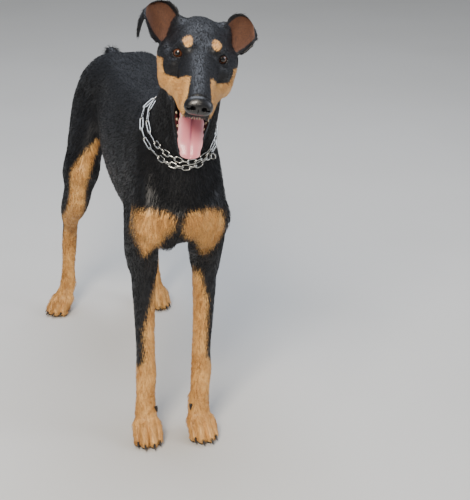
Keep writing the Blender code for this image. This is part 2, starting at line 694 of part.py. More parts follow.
def swept(name, centres, first, second, around, closed_path=False):
    """Elliptical sections with the half axes first and second, set along the centres."""
    turn = np.arange(around) / around * math.tau
    first, second = np.asarray(first)[:, None], np.asarray(second)[:, None]
    rings = np.asarray(centres)[:, None] + first * np.cos(turn)[:, None] + second * np.sin(turn)[:, None]
    faces = band_faces(len(rings), around, closed_path)
    if not closed_path:
        last = (len(rings) - 1) * around
        faces += [list(range(around)), list(range(last, last + around))]
    return solid(name, rings.reshape(-1, 3), faces)


def horn(name, root, lean, length, radius, bend=0.0, around=6):
    """A tapered, bent point: claw or tooth. Its root starts a little inside what bears it."""
    lean = unit(lean)
    share = np.array([-0.25, 0.35, 0.75, 1.0])
    droop = np.array((0, 0, -1.0))
    centres = np.asarray(root) + np.outer(share * length, lean) + np.outer(share**2 * bend, droop)
    across = unit(np.cross(lean, (0.3, 0.2, 1)))
    width = radius * np.array([1.0, 0.85, 0.5, 0.12])
    return swept(name, centres, np.outer(width, across), np.outer(width, np.cross(lean, across)), around)


def loft(name, stations, around, step, tip):
    """A tube of elliptical sections with rounded ends, as an open mesh of its own."""
    path = smooth_path(stations, step)
    along = np.gradient(path[:, :3], axis=0)
    along /= np.linalg.norm(along, axis=1)[:, None]
    closing = np.sin(np.radians((15, 50)))
    reach = np.cos(np.radians((15, 50))) * tip
    start = path[0] * np.r_[1, 1, 1, 0, 0] - np.outer(reach, np.r_[along[0], 0, 0])
    start[:, 3:] = np.outer(closing, path[0, 3:])
    stop = path[-1] * np.r_[1, 1, 1, 0, 0] + np.outer(reach, np.r_[along[-1], 0, 0])
    stop[:, 3:] = np.outer(closing, path[-1, 3:])
    path = np.vstack([start, path, stop[::-1]])
    along = np.vstack([along[:1], along[:1], along, along[-1:], along[-1:]])
    side = np.array((1.0, 0, 0)) - along[:, :1] * along
    side /= np.linalg.norm(side, axis=1)[:, None]
    up = np.cross(side, along)
    return swept(name, path[:, :3], side * path[:, 3:4], up * path[:, 4:5], around)


def slab(start, stop, across, half_reach):
    """A box as thin as the gap, from start to stop and half_reach to both sides."""
    start, stop, across = np.asarray(start, float), np.asarray(stop, float), unit(across)
    facing = unit(np.cross(across, stop - start)) * GAP / 2
    across = across * half_reach
    corners = [p + a * across + f * facing for p in (start, stop) for a in (-1, 1) for f in (-1, 1)]
    faces = [(0, 1, 3, 2), (4, 6, 7, 5), (0, 4, 5, 1), (2, 3, 7, 6), (0, 2, 6, 4), (1, 5, 7, 3)]
    return solid("slab", corners, faces)


def removed(made):
    """Take an object and its mesh out of the file."""
    mesh = made.data
    bpy.data.objects.remove(made)
    bpy.data.meshes.remove(mesh)


def applied(made):
    """Replace the object's mesh by what its modifiers make of it."""
    graph = bpy.context.evaluated_depsgraph_get()
    shown = bpy.data.meshes.new_from_object(made.evaluated_get(graph))
    made.modifiers.clear()
    made.data = shown
    return made


def thinned(made, triangles):
    """The object's mesh brought down to about this many triangles."""
    count = sum(len(face.vertices) - 2 for face in made.data.polygons)
    thin = made.modifiers.new("thin", "DECIMATE")
    thin.ratio = min(1.0, triangles / count)
    thin.use_collapse_triangulate = True
    return applied(made)


def combined(made, other, operation):
    """Cut another object from this one, or join it on, and remove it."""
    bpy.context.view_layer.update()
    change = made.modifiers.new(operation.lower(), "BOOLEAN")
    change.operation = operation
    change.solver = "EXACT"
    change.object = other
    applied(made)
    removed(other)
    return made


def clipped(made, point, facing):
    """Keep the object's part behind a plane, and close it there."""
    build = bmesh.new()
    build.from_mesh(made.data)
    parts = build.verts[:] + build.edges[:] + build.faces[:]
    bmesh.ops.bisect_plane(
        build, geom=parts, plane_co=Vector(point), plane_no=Vector(facing), dist=1e-7, clear_outer=True
    )
    rim = [edge for edge in build.edges if edge.is_boundary]
    bmesh.ops.holes_fill(build, edges=rim, sides=0)
    bmesh.ops.triangulate(build, faces=[face for face in build.faces if len(face.verts) > 3])
    bmesh.ops.recalc_face_normals(build, faces=build.faces)
    build.to_mesh(made.data)
    build.free()
    return made


def grown(made, amount):
    """A copy of the object with its surface moved outwards."""
    mesh = made.data.copy()
    points = np.array([vertex.co for vertex in mesh.vertices])
    facing = np.array([normal.vector for normal in mesh.vertex_normals])
    mesh.vertices.foreach_set("co", (points + amount * facing).ravel())
    return linked(made.name + "_grown", mesh)


def closed_pieces(made):
    """The closed surfaces in the object's mesh, each as points and faces, largest first."""
    build = bmesh.new()
    build.from_mesh(made.data)
    bmesh.ops.remove_doubles(build, verts=build.verts, dist=1e-6)
    build.verts.ensure_lookup_table()
    seen, pieces = set(), []
    for seed in build.verts:
        if seed.index in seen:
            continue
        group, front = {seed.index: seed}, [seed]
        while front:
            for edge in front.pop().link_edges:
                for vertex in edge.verts:
                    if vertex.index not in group:
                        group[vertex.index] = vertex
                        front.append(vertex)
        seen.update(group)
        order = {index: place for place, index in enumerate(group)}
        faces = {face for vertex in group.values() for face in vertex.link_faces}
        faces = sorted(faces, key=lambda face: face.index)
        corners = [[order[vertex.index] for vertex in face.verts] for face in faces]
        pieces.append(([tuple(vertex.co) for vertex in group.values()], corners))
    build.free()
    return sorted(pieces, key=lambda piece: -len(piece[1]))


def parted(made, places):
    """Split an object into its closed pieces, each named by the nearest of the named places."""
    names, named = list(places), {}
    pieces = closed_pieces(made)[: len(places)]
    removed(made)
    for points, faces in pieces:
        middle = np.mean([np.min(points, 0), np.max(points, 0)], 0)
        name = min(names, key=lambda each: np.linalg.norm(middle - places[each]))
        names.remove(name)
        named[name] = solid(name, points, faces)
    return named


def only_largest(made):
    """Keep the object's largest closed surface."""
    name = made.name
    points, faces = closed_pieces(made)[0]
    removed(made)
    kept = solid(name, points, faces)
    kept.name = name
    return kept


def moved(made, origin, matrix, size=1.0):
    """Move an object's mesh from a frame of its own into the dog's."""
    turn = Matrix((matrix * size).tolist()).to_4x4()
    made.data.transform(Matrix.Translation(origin) @ turn)
    return made


def in_head(made):
    """Move an object's mesh from the head's frame into the dog's."""
    return moved(made, HEAD_ORIGIN, HEAD_TURN)


def make_body(dog):
    """Torso, neck, tail and legs, meshed as one and parted with thin cuts."""
    body = form_mesh("body", dog, BODY_CELL, (-0.16, -0.215, 0.070), (0.16, 0.74, 0.89))
    thinned(body, FORM_TRIANGLES["body"])
    point, facing = POLL_CUT
    clipped(body, np.array(point) - GAP / 2 * unit(facing), facing)
    clipped(body, (0, 0, PAW_TOP + GAP / 2), (0, 0, -1))
    for cut in CUTS:
        combined(body, slab(*cut), "DIFFERENCE")
    return parted(body, BODY_PIECES)


def make_paw(name, dog, size, origin, turn, inner_side):
    """A paw down to the flats that it stands on, with its claws."""
    reach = np.array((0.060, 0.075)) * size
    low, high = (*(origin - reach), -0.006), (*(origin + reach), PAW_TOP + 0.010)
    paw = form_mesh(name, dog, PAW_CELL, low, high)
    thinned(paw, FORM_TRIANGLES["paw"])
    clipped(paw, (0, 0, PAW_TOP - GAP / 2), (0, 0, 1))
    clipped(paw, (0, 0, 0), (0, 0, -1))
    claws = [((x * 1.05, -0.046 + back, 0.0135), (x * 4, -1, -0.30), 0.0155) for x, back in TOES]
    if inner_side:
        claws.append(((inner_side * 0.0215, 0.000, 0.066), (inner_side * 0.5, -0.6, -0.7), 0.0120))
    for root, lean, length in claws:
        claw = horn("claw", root, lean, length, 0.0034, 0.0030)
        combined(paw, moved(claw, (*origin, 0), turned(turn), size), "UNION")
    return only_largest(paw)


def make_ear(name, rows):
    """An ear: a sheet between its rear edge, its cup and its front edge, carried to the tip."""
    rows = np.array(rows)
    thickness = np.array(EAR_THICKNESS)[:, None]
    path = smooth_path(np.hstack([rows[:, 1], rows[:, 0], rows[:, 2], thickness]), 0.010)
    middle, rear, front, thick = path[:, :3], path[:, 3:6], path[:, 6:9], path[:, 9]
    across = np.linspace(-1, 1, 7)[:, None]
    sheet = (
        rear[:, None] * (across**2 - across) / 2
        + middle[:, None] * (1 - across**2)
        + front[:, None] * (across**2 + across) / 2
    )
    facing = np.cross(np.gradient(sheet, axis=0), np.gradient(sheet, axis=1))
    facing /= np.linalg.norm(facing, axis=2)[:, :, None]
    for _ in range(2):
        wide = np.pad(facing, ((1, 1), (1, 1), (0, 0)), "edge")
        facing = wide[:-2, 1:-1] + wide[2:, 1:-1] + wide[1:-1, :-2] + wide[1:-1, 2:] + 2 * facing
        facing /= np.linalg.norm(facing, axis=2)[:, :, None]
    half = thick[:, None, None] / 2 * (1 - 0.45 * across**4)
    upper, lower = sheet + facing * half, sheet - facing * half
    loops = np.concatenate([upper, lower[:, ::-1]], 1)
    around = loops.shape[1]
    faces = band_faces(len(loops), around, False)
    for start in (0, (len(loops) - 1) * around):
        for j in range(len(across) - 1):
            faces.append([start + j, start + j + 1, start + around - 2 - j, start + around - 1 - j])
    return solid(name, loops.reshape(-1, 3), faces)


def make_eye(name, side):
    """An eyeball, its front a little fuller."""
    build = bmesh.new()
    bmesh.ops.create_uvsphere(build, u_segments=14, v_segments=8, radius=EYE_RADIUS)
    bmesh.ops.triangulate(build, faces=build.faces)
    mesh = bpy.data.meshes.new(name)
    build.to_mesh(mesh)
    build.free()
    facing = Vector(mirrored(side, EYE_SIGHT)).to_track_quat("Z", "Y").to_matrix()
    mesh.transform(Matrix.Translation(mirrored(side, EYE)) @ facing.to_4x4())
    return linked(name, mesh)


def lid_opening(side):
    """The lens-shaped way between the lids, as a prism along the line of sight."""
    sight = unit(mirrored(side, EYE_SIGHT))
    across = unit(np.cross(sight, (0.10 * side, 0, 1)))
    up = np.cross(across, sight)
    length, height = LID_OPENING
    radius = (length**2 + height**2) / 4 / height
    swing = math.asin(length / 2 / radius)
    arc = np.linspace(-swing, swing, 7)
    rim = [(radius * math.sin(a), radius * math.cos(a) - radius + height / 2) for a in arc]
    rim += [(radius * math.sin(-a), -(radius * math.cos(a) - radius + height / 2)) for a in arc[1:-1]]
    points = [
        mirrored(side, EYE) + depth * sight + x * across + z * up
        for depth in (0.002, 0.030)
        for x, z in rim
    ]
    count = len(rim)
    faces = band_faces(2, count, False) + [list(range(count)), list(range(count, 2 * count))]
    return solid("lid_opening", points, faces)


def make_head(dog, parts):
    """Skull and jaw, cut to take the eyes, nose, tongue and ears, and parted at the mouth."""
    head = form_mesh("head", dog, HEAD_CELL, (-0.165, -0.445, 0.690), (0.090, -0.080, 0.925))
    thinned(head, FORM_TRIANGLES["head"])
    point, facing = POLL_CUT
    clipped(head, np.array(point) + GAP / 2 * unit(facing), -np.array(facing))
    for side in (-1, 1):
        combined(head, in_head(lid_opening(side)), "DIFFERENCE")
    for part in parts:
        combined(head, grown(part, 0.0004), "DIFFERENCE")
    for cut in JAW_CUTS:
        combined(head, in_head(slab(*cut)), "DIFFERENCE")
    places = {name: HEAD_TURN @ place + HEAD_ORIGIN for name, place in HEAD_PIECES.items()}
    pieces = parted(head, places)
    for side in (-1, 1):
        root, lean, length, radius = UPPER_CANINE
        tooth = horn("tooth", mirrored(side, root), mirrored(side, lean), length, radius)
        combined(pieces["head"], in_head(tooth), "UNION")
        root, lean, length, radius = LOWER_CANINE
        tooth = horn("tooth", mirrored(side, root), mirrored(side, lean), length, radius)
        combined(pieces["jaw"], in_head(tooth), "UNION")
        for place in np.linspace(0, 1, PREMOLARS):
            root = mirrored(side, between(*PREMOLAR_ENDS, place))
            tooth = horn("tooth", root, (side * 0.1, -0.35, 0.9), 0.0085, 0.0030, around=5)
            combined(pieces["jaw"], in_head(tooth), "UNION")
    for piece in pieces.values():
        combined(piece, grown(next(part for part in parts if part.name == "tongue"), GAP), "DIFFERENCE")
    return [only_largest(piece) for piece in pieces.values()]


def strand_line(dog, points):
    """The strand's line, close round the neck, with the direction out of the neck at each place."""
    rows = np.vstack([points, points[:1]])
    line = smooth_path(rows, 0.002)
    for _ in range(3):
        out = slope_of(dog, line)
        line = line + out * (2 * WIRE - dog.distance(line))[:, None]
    return line, slope_of(dog, line)


def ring(name, size, along, across, centre):
    """A long six-cornered ring of wire of this outer length and width."""
    reach, half = np.array(size) / 2 - WIRE
    bend = reach - 0.7 * half
    corners = ((reach, 0), (bend, half), (-bend, half), (-reach, 0), (-bend, -half), (bend, -half))
    corners = np.array(corners)
    out = np.array([unit((x * half / reach, y)) for x, y in corners])
    frame = np.array([along, across])
    facing = np.tile(WIRE * np.cross(along, across), (len(corners), 1))
    return swept(name, centre + corners @ frame, WIRE * out @ frame, facing, WIRE_SIDES, closed_path=True)


def surface_tree(nodes):
    """A search tree over the nodes' faces."""
    points, faces = [], []
    for node in nodes:
        first = len(points)
        points += [vertex.co for vertex in node.data.vertices]
        faces += [[first + corner for corner in face.vertices] for face in node.data.polygons]
    return BVHTree.FromPolygons(points, faces)


def seated(link, flesh, out):
    """Move a link of the collar along the direction out, to lie just clear of the neck."""
    for _ in range(3):
        corners = np.array([vertex.co for vertex in link.data.vertices])
        ends = corners[np.array([edge.vertices[:] for edge in link.data.edges])]
        wires = np.concatenate([between(ends[:, 0], ends[:, 1], part) for part in np.linspace(0, 1, 7)])
        heights = []
        for point in wires:
            place, facing, _, _ = flesh.find_nearest(Vector(point))
            heights.append((Vector(point) - place).dot(facing))
        link.data.transform(Matrix.Translation(out * (CLEARANCE - min(heights))))
    return link


def make_strand(name, dog, flesh, points, first, count):
    """One strand: short links at the throat, from first along the line, and long links behind."""
    line, outs = strand_line(dog, np.array(points))
    run = np.r_[0, np.cumsum(np.linalg.norm(np.diff(line, axis=0), axis=1))]
    short = SHORT_LINK[0] - 4 * WIRE + LINK_OVERLAP
    start = run[line[:, 1].argmin()] + first
    rest = run[-1] - count * short
    long_count = round(rest / (LONG_LINK[0] - 4 * WIRE + LINK_OVERLAP))
    long_size = (rest / long_count + 4 * WIRE - LINK_OVERLAP, LONG_LINK[1])
    places = start + short * (np.arange(count) + 0.5)
    after = start + short * count + rest / long_count * (np.arange(long_count) + 0.5)

    def frame_at(place):
        """The middle of the line, and its directions along, out and across, at a distance along it."""
        spot, ahead = (place % run[-1], (place + 0.004) % run[-1])
        centre, ahead = ([np.interp(at, run, row) for row in line.T] for at in (spot, ahead))
        out = unit([np.interp(spot, run, row) for row in outs.T])
        along = np.subtract(ahead, centre)
        along = unit(along - np.dot(along, out) * out)
        return np.array(centre), along, out, np.cross(out, along)

    strand = None
    for number, place in enumerate(np.r_[places, after]):
        centre, along, out, across = frame_at(place)
        roll = math.radians(LINK_ROLL) * (1 if number % 2 else -1)
        across = across * math.cos(roll) + out * math.sin(roll)
        size = SHORT_LINK if number < count else long_size
        link = seated(ring(name, size, along, across, centre), flesh, out)
        strand = link if strand is None else combined(strand, link, "UNION")
    if name == "collar_lower":
        centre, _, out, across = frame_at(start + count * short)
        loop = ring("loop", (2 * RING_RADIUS,) * 2, across, out, centre)
        combined(strand, seated(loop, flesh, out), "UNION")
    return only_largest(strand)


def painted(made):
    """Give a node its material and round shading."""
    stem = made.name.split("_")[0]
    finish = NODE_FINISHES.get(stem, "black_coat")
    colour, roughness, metallic = FINISHES[finish]
    material = bpy.data.materials.get(finish) or bpy.data.materials.new(finish)
    material.use_nodes = True
    shader = material.node_tree.nodes["Principled BSDF"]
    shader.inputs["Base Color"].default_value = (*colour, 1)
    shader.inputs["Roughness"].default_value = roughness
    shader.inputs["Metallic"].default_value = metallic
    made.data.materials.clear()
    made.data.materials.append(material)
    made.data.shade_smooth()
    made.data.set_sharp_from_angle(angle=math.radians(50))


def main():
    for old in list(bpy.data.objects):
        bpy.data.objects.remove(old)
    dog = dog_form()
    nodes = list(make_body(dog).values())
    for name, (side, _, paw, turn) in FORE_LIMBS.items():
        nodes.append(make_paw("forepaw_" + name, dog, FORE_PAW_SIZE, np.array(paw), turn, -side))
    for name, (side, _, _, paw, turn) in HIND_LIMBS.items():
        nodes.append(make_paw("hindpaw_" + name, dog, HIND_PAW_SIZE, np.array(paw), turn, 0))
    nose = form_mesh("nose", nose_form(), NOSE_CELL)
    parts = [in_head(thinned(nose, FORM_TRIANGLES["nose"]))]
    parts.append(in_head(loft("tongue", TONGUE_SECTIONS, 12, 0.014, 0.009)))
    parts.append(in_head(make_ear("ear_right", RIGHT_EAR)))
    parts.append(in_head(make_ear("ear_left", LEFT_EAR)))
    parts.append(in_head(make_eye("eye_right", -1)))
    parts.append(in_head(make_eye("eye_left", 1)))
    nodes += parts + make_head(dog, parts)
    flesh = surface_tree([node for node in nodes if node.name in ("neck", "torso")])
    for name, points in STRANDS.items():
        nodes.append(make_strand("collar_" + name, dog, flesh, points, *SHORT_LINKS[name]))
    corners = np.array([vertex.co for made in nodes for vertex in made.data.vertices])
    middle = (corners.min(0) + corners.max(0)) / 2
    stance = bpy.data.objects.new("stance", None)
    bpy.context.scene.collection.objects.link(stance)
    stance.location = (-middle[0], -middle[1], 0)
    for made in nodes:
        painted(made)
        made.parent = stance


main()
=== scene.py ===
"""The looks of a standing black and rust dog with an open mouth and a steel chain collar.

One skin stands for all the flesh. It is worked out from the same named sizes as the solids: tubes of
elliptical section along smooth paths and ellipsoids, blended into one distance field, whose zero
surface is meshed finely on the head and paws and more coarsely on the body. Short hair is bump in
the skin's material, and tufts of thin blades lie over it on every side.

Lengths are in metres and angles in degrees. The dog faces -Y and its left side is +X. Anatomy is
worked out in the dog's own frame and moved by STANCE to where the frame's nodes are.
"""

import itertools
import json
import logging
import math
from dataclasses import dataclass, field
from enum import Enum
from typing import Any, Callable, Iterable, Optional, Protocol, Sequence

import bmesh
import bpy
import numpy as np
from mathutils import Matrix, Vector

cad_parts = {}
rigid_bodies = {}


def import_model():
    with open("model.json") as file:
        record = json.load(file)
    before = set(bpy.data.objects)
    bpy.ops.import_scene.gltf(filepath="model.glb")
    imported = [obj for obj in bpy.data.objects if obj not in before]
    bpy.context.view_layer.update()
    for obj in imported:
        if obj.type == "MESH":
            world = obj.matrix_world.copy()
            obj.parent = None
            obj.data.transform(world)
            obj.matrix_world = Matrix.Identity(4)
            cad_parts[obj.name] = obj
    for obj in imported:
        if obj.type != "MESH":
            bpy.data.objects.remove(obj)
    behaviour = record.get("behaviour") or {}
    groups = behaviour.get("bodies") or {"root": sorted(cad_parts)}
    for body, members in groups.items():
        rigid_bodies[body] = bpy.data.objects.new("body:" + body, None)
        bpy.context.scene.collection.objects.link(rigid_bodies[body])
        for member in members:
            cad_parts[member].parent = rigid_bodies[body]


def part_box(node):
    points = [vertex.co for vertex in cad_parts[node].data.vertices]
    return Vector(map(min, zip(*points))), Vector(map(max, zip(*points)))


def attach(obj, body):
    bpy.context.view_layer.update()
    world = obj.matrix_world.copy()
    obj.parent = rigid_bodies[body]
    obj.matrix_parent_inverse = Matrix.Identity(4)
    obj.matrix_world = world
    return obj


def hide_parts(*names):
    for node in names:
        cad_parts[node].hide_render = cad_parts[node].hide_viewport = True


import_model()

Array = np.ndarray
log = logging.getLogger("dog")
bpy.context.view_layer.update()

FAR = 0.05
PAW_TOP = 0.092
HEAD_ORIGIN = np.array((-0.0350, -0.2811, 0.8695))
HEAD_YAW, HEAD_PITCH, HEAD_ROLL = 12.5, 5.5, 8.0
POLL_POINT = np.array((-0.008, -0.138, 0.815))
POLL_FACING = np.array((-0.03, -0.50, 0.866)) / math.hypot(0.03, 0.50, 0.866)
NECK_BASE = np.array((0.0, -0.130, 0.470))
NECK_BASE_FACING = np.array((0.0, -0.663, 0.749))
EYE = (0.0355, 0.0095, -0.0020)
EYE_RADIUS = 0.0108
EYE_SIGHT = (0.26, -0.94, 0.16)
LID_THICKNESS = 0.0022
LID_OPENING = (0.0208, 0.0165)


def unit(vector: Sequence[float] | Array) -> Array:
    """The vector at length 1."""
    vector = np.asarray(vector, float)
    return vector / np.linalg.norm(vector)


def rows_unit(rows: Array) -> Array:
    """Each row at length 1."""
    return rows / np.maximum(np.linalg.norm(rows, axis=-1, keepdims=True), 1e-12)


def turned(yaw: float, pitch: float = 0.0, roll: float = 0.0) -> Array:
    """The rotation that turns by yaw about Z, then by pitch about X and by roll about Y.

    Args:
        yaw: degrees that turn the nose to -X.
        pitch: degrees that dip the nose.
        roll: degrees that drop the left side.

    Returns:
        A 3 by 3 matrix.
    """
    yaw, pitch, roll = np.radians((yaw, pitch, roll))
    cy, sy, cp, sp, cr, sr = (f(a) for a in (yaw, pitch, roll) for f in (np.cos, np.sin))
    about_z = np.array([[cy, sy, 0], [-sy, cy, 0], [0, 0, 1]])
    about_x = np.array([[1, 0, 0], [0, cp, -sp], [0, sp, cp]])
    about_y = np.array([[cr, 0, sr], [0, 1, 0], [-sr, 0, cr]])
    return about_z @ about_x @ about_y


HEAD_TURN = turned(HEAD_YAW, HEAD_PITCH, HEAD_ROLL)


def mirrored(side: int, point: Sequence[float]) -> Array:
    """The point on one side: x is given for the left side."""
    return np.array((side * point[0], *point[1:]), float)


def from_head(points: Array) -> Array:
    """Points of the head's frame in the dog's."""
    return np.asarray(points) @ HEAD_TURN.T + HEAD_ORIGIN


def to_head(points: Array) -> Array:
    """Points of the dog's frame in the head's."""
    return (np.asarray(points) - HEAD_ORIGIN) @ HEAD_TURN


def smooth_step(values: Array, low: float, high: float) -> Array:
    """0 below low and 1 above high, with the cubic 3t^2 - 2t^3 between."""
    t = np.clip((values - low) / (high - low), 0, 1)
    return t * t * (3 - 2 * t)


def between(start: Sequence[float], stop: Sequence[float], share: float) -> Array:
    """The point at a share of the way from start to stop."""
    return np.asarray(start) * (1 - share) + np.asarray(stop) * share


def smooth_path(stations: Sequence[Sequence[float]] | Array, step: float) -> Array:
    """Rows joined by a smooth cubic, resampled at even distances.

    Between two rows the path is the Hermite cubic whose slopes are the central differences of the
    rows over the chord, and every column follows the same cubic.

    Args:
        stations: rows whose first three columns are a place.
        step: the distance between samples.

    Returns:
        The resampled rows.
    """
    rows = np.asarray(stations, float)
    chord = np.r_[0, np.cumsum(np.linalg.norm(np.diff(rows[:, :3], axis=0), axis=1))]
    slope = np.gradient(rows, chord, axis=0)
    at = np.linspace(0, chord[-1], max(2, math.ceil(chord[-1] / step)) + 1)
    i = np.clip(np.searchsorted(chord, at, side="right") - 1, 0, len(chord) - 2)
    span = (chord[i + 1] - chord[i])[:, None]
    t = (at - chord[i])[:, None] / span
    return (
        (2 * t**3 - 3 * t**2 + 1) * rows[i]
        + (t**3 - 2 * t**2 + t) * span * slope[i]
        + (3 * t**2 - 2 * t**3) * rows[i + 1]
        + (t**3 - t**2) * span * slope[i + 1]
    )


class Form(Protocol):
    """A shape known by its signed distance, negative inside, and by its box."""

    low: Array
    high: Array

    def distance(self, points: Array) -> Array:
        """Signed distance of each point."""


def scaled_distance(share: Array, slope: Array) -> Array:
    """Distance from an ellipsoid: share is the place over the half sizes, slope over their squares."""
    reach = np.sqrt((share**2).sum(1))
    return reach * (reach - 1) / np.maximum(np.sqrt((slope**2).sum(1)), 1e-9)


class Ellipsoid:
    """A rounded mass with three half sizes, its long axis turned to face along a direction."""

    def __init__(
        self,
        centre: Sequence[float],
        half: Sequence[float],
        along: Sequence[float] = (0, 1, 0),
        side: Sequence[float] = (1, 0, 0),
    ) -> None:
        self.centre, self.half = np.array(centre, float), np.array(half, float)
        along = unit(along)
        side = unit(np.asarray(side) - np.dot(side, along) * along)
        self.axes = np.array([side, along, np.cross(side, along)])
        reach = np.abs(self.axes.T * self.half).sum(1)
        self.low, self.high = self.centre - reach, self.centre + reach

    def distance(self, points: Array) -> Array:
        """Signed distance of each point."""
        local = (points - self.centre) @ self.axes.T
        return scaled_distance(local / self.half, local / self.half**2)


class Tube:
    """Elliptical sections along a smooth path. A station is x, y, z, half width, half depth."""

    def __init__(
        self,
        stations: Sequence[Sequence[float]] | Array,
        side: Sequence[float] = (1, 0, 0),
        ends: Optional[tuple[float, float]] = None,
        step: float = 0.006,
    ) -> None:
        path = smooth_path(stations, step)
        self.centre, self.half = path[:, :3], path[:, 3:5]
        self.along = np.gradient(self.centre, axis=0)
        self.spacing = np.linalg.norm(self.along, axis=1)
        self.along /= self.spacing[:, None]
        side = np.asarray(side, float)
        self.side = rows_unit(side - (self.along @ side)[:, None] * self.along)
        self.up = np.cross(self.side, self.along)
        self.ends = ends or (min(self.half[0]), min(self.half[-1]))
        reach = self.half.max(1)[:, None] + max(self.ends)
        self.low = (self.centre - reach).min(0)
        self.high = (self.centre + reach).max(0)

    def place(self, points: Array) -> tuple[Array, Array]:
        """Where each point lies along the path.

        Args:
            points: places in the tube's frame.

        Returns:
            The station number with its fraction, and the station below it.
        """
        last = len(self.centre) - 1
        across = (self.centre**2).sum(1) - 2 * points @ self.centre.T
        near = across.argmin(1)
        run = ((points - self.centre[near]) * self.along[near]).sum(1)
        place = np.clip(near + np.clip(run / self.spacing[near], -1, 1), 0, last)
        return place, np.minimum(place.astype(int), last - 1)

    def distance(self, points: Array) -> Array:
        """Signed distance: the section's ellipse is mixed between the two nearest stations."""
        last = len(self.centre) - 1
        place, i = self.place(points)
        t = (place - i)[:, None]
        mixed = [
            (1 - t) * rows[i] + t * rows[i + 1]
            for rows in (self.centre, self.half, self.side, self.up, self.along)
        ]
        offset = points - mixed[0]
        flat = [(offset * axis).sum(1) for axis in mixed[2:]]
        beyond = np.where(place <= 0, np.minimum(flat[2], 0) / self.ends[0], 0)
        beyond += np.where(place >= last, np.maximum(flat[2], 0) / self.ends[1], 0)
        cap = np.where(place <= 0, self.ends[0], self.ends[1])
        share = np.stack([flat[0] / mixed[1][:, 0], flat[1] / mixed[1][:, 1], beyond], 1)
        slope = share / np.stack([mixed[1][:, 0], mixed[1][:, 1], cap], 1)
        return scaled_distance(share, slope)


class Blend:
    """Forms added or cut in turn, each melting into what is there over its own width."""

    def __init__(self, *steps: tuple[Form, float]) -> None:
        self.steps: list[tuple[Form, float, int]] = []
        self.low, self.high = np.full(3, np.inf), np.full(3, -np.inf)
        for form, width in steps:
            self.add(form, width)

    def add(self, form: Form, width: float) -> "Blend":
        """Add a form."""
        self.steps.append((form, width, 1))
        self.low = np.minimum(self.low, form.low)
        self.high = np.maximum(self.high, form.high)
        return self

    def cut(self, form: Form, width: float) -> "Blend":
        """Cut a form away."""
        self.steps.append((form, width, -1))
        return self

    def distance(self, points: Array) -> Array:
        """Signed distance: each step takes the smaller of two fields less (overlap^2)(width)/4."""
        made = np.full(len(points), FAR)
        for form, width, sign in self.steps:
            near = ((points > form.low - FAR) & (points < form.high + FAR)).all(1)
            if not near.any():
                continue
            here, new = sign * made[near], form.distance(points[near])
            overlap = np.maximum(width - np.abs(here - new), 0) / width
            made[near] = sign * (np.minimum(here, new) - overlap**2 * width / 4)
        return np.minimum(made, FAR)


class Placed:
    """A form built about its own origin, then sized, turned and set into another frame."""

    def __init__(self, form: Form, origin: Sequence[float], matrix: Array, size: float = 1.0) -> None:
        self.form, self.origin = form, np.array(origin, float)
        self.matrix, self.size = matrix, size
        corners = np.array(list(itertools.product(*zip(form.low, form.high))))
        placed = corners @ matrix.T * size + self.origin
        self.low, self.high = placed.min(0), placed.max(0)

    def distance(self, points: Array) -> Array:
        """Signed distance of each point."""
        return self.form.distance((points - self.origin) @ self.matrix / self.size) * self.size


class Shaved:
    """A form whose surface lies deeper by the depth of the coat at each place."""

    def __init__(self, form: Form, depth: Callable[[Array], Array]) -> None:
        self.form, self.depth = form, depth
        self.low, self.high = form.low, form.high

    def distance(self, points: Array) -> Array:
        """Signed distance of each point."""
        return self.form.distance(points) + self.depth(points)


def in_batches(form: Form, points: Array, size: int = 60000) -> Array:
    """The form's distance at many points, worked out a batch at a time."""
    return np.concatenate([form.distance(points[i : i + size]) for i in range(0, len(points), size)])


def sampled(form: Form, low: Array, high: Array, cell: float, coarse: int = 4) -> Array:
    """The form's distance on a grid of cubes, exact near its surface and shut at the grid's edge.

    Args:
        form: the shape.
        low: the grid's lowest corner.
        high: the grid's highest corner.
        cell: the side of a cube.
        coarse: how many cubes a first rough pass takes at once.

    Returns:
        A three-dimensional array of distances.
    """
    shape = np.ceil((np.asarray(high) - low) / (cell * coarse)).astype(int) + 1
    blocks = np.stack(np.meshgrid(*map(np.arange, shape), indexing="ij"), -1).reshape(-1, 3)
    rough = in_batches(form, low + (blocks + 0.5) * cell * coarse)
    fine = np.repeat(rough.reshape(shape), coarse, 0)
    fine = np.repeat(np.repeat(fine, coarse, 1), coarse, 2)
    near = blocks[np.abs(rough) < 1.6 * cell * coarse] * coarse
    inner = np.stack(np.meshgrid(*[np.arange(coarse)] * 3, indexing="ij"), -1).reshape(-1, 3)
    index = (near[:, None] + inner).reshape(-1, 3)
    fine[tuple(index.T)] = in_batches(form, low + index * cell)
    for axis in range(3):
        for end in (slice(0, 2), slice(-2, None)):
            fine[(slice(None),) * axis + (end,)] = FAR
    return fine


def opened(values: Array, depth: float) -> Array:
    """Part or join the places where two surfaces would touch in one cube, so that none share an edge."""
    for _ in range(12):
        filled = 0
        for axes in ((0, 1), (0, 2), (1, 2)):
            corner = []
            for shift in ((0, 0), (1, 0), (1, 1), (0, 1)):
                cut = [slice(None)] * 3
                for axis, along in zip(axes, shift):
                    cut[axis] = slice(1, None) if along else slice(None, -1)
                corner.append(values[tuple(cut)])
            inside = [each < 0 for each in corner]
            crossed = (inside[0] == inside[2]) & (inside[1] == inside[3]) & (inside[0] != inside[1])
            for each in corner:
                wrong = crossed & (each >= 0)
                each[wrong] = -depth
                filled += wrong.sum()
        if not filled:
            break
    return values


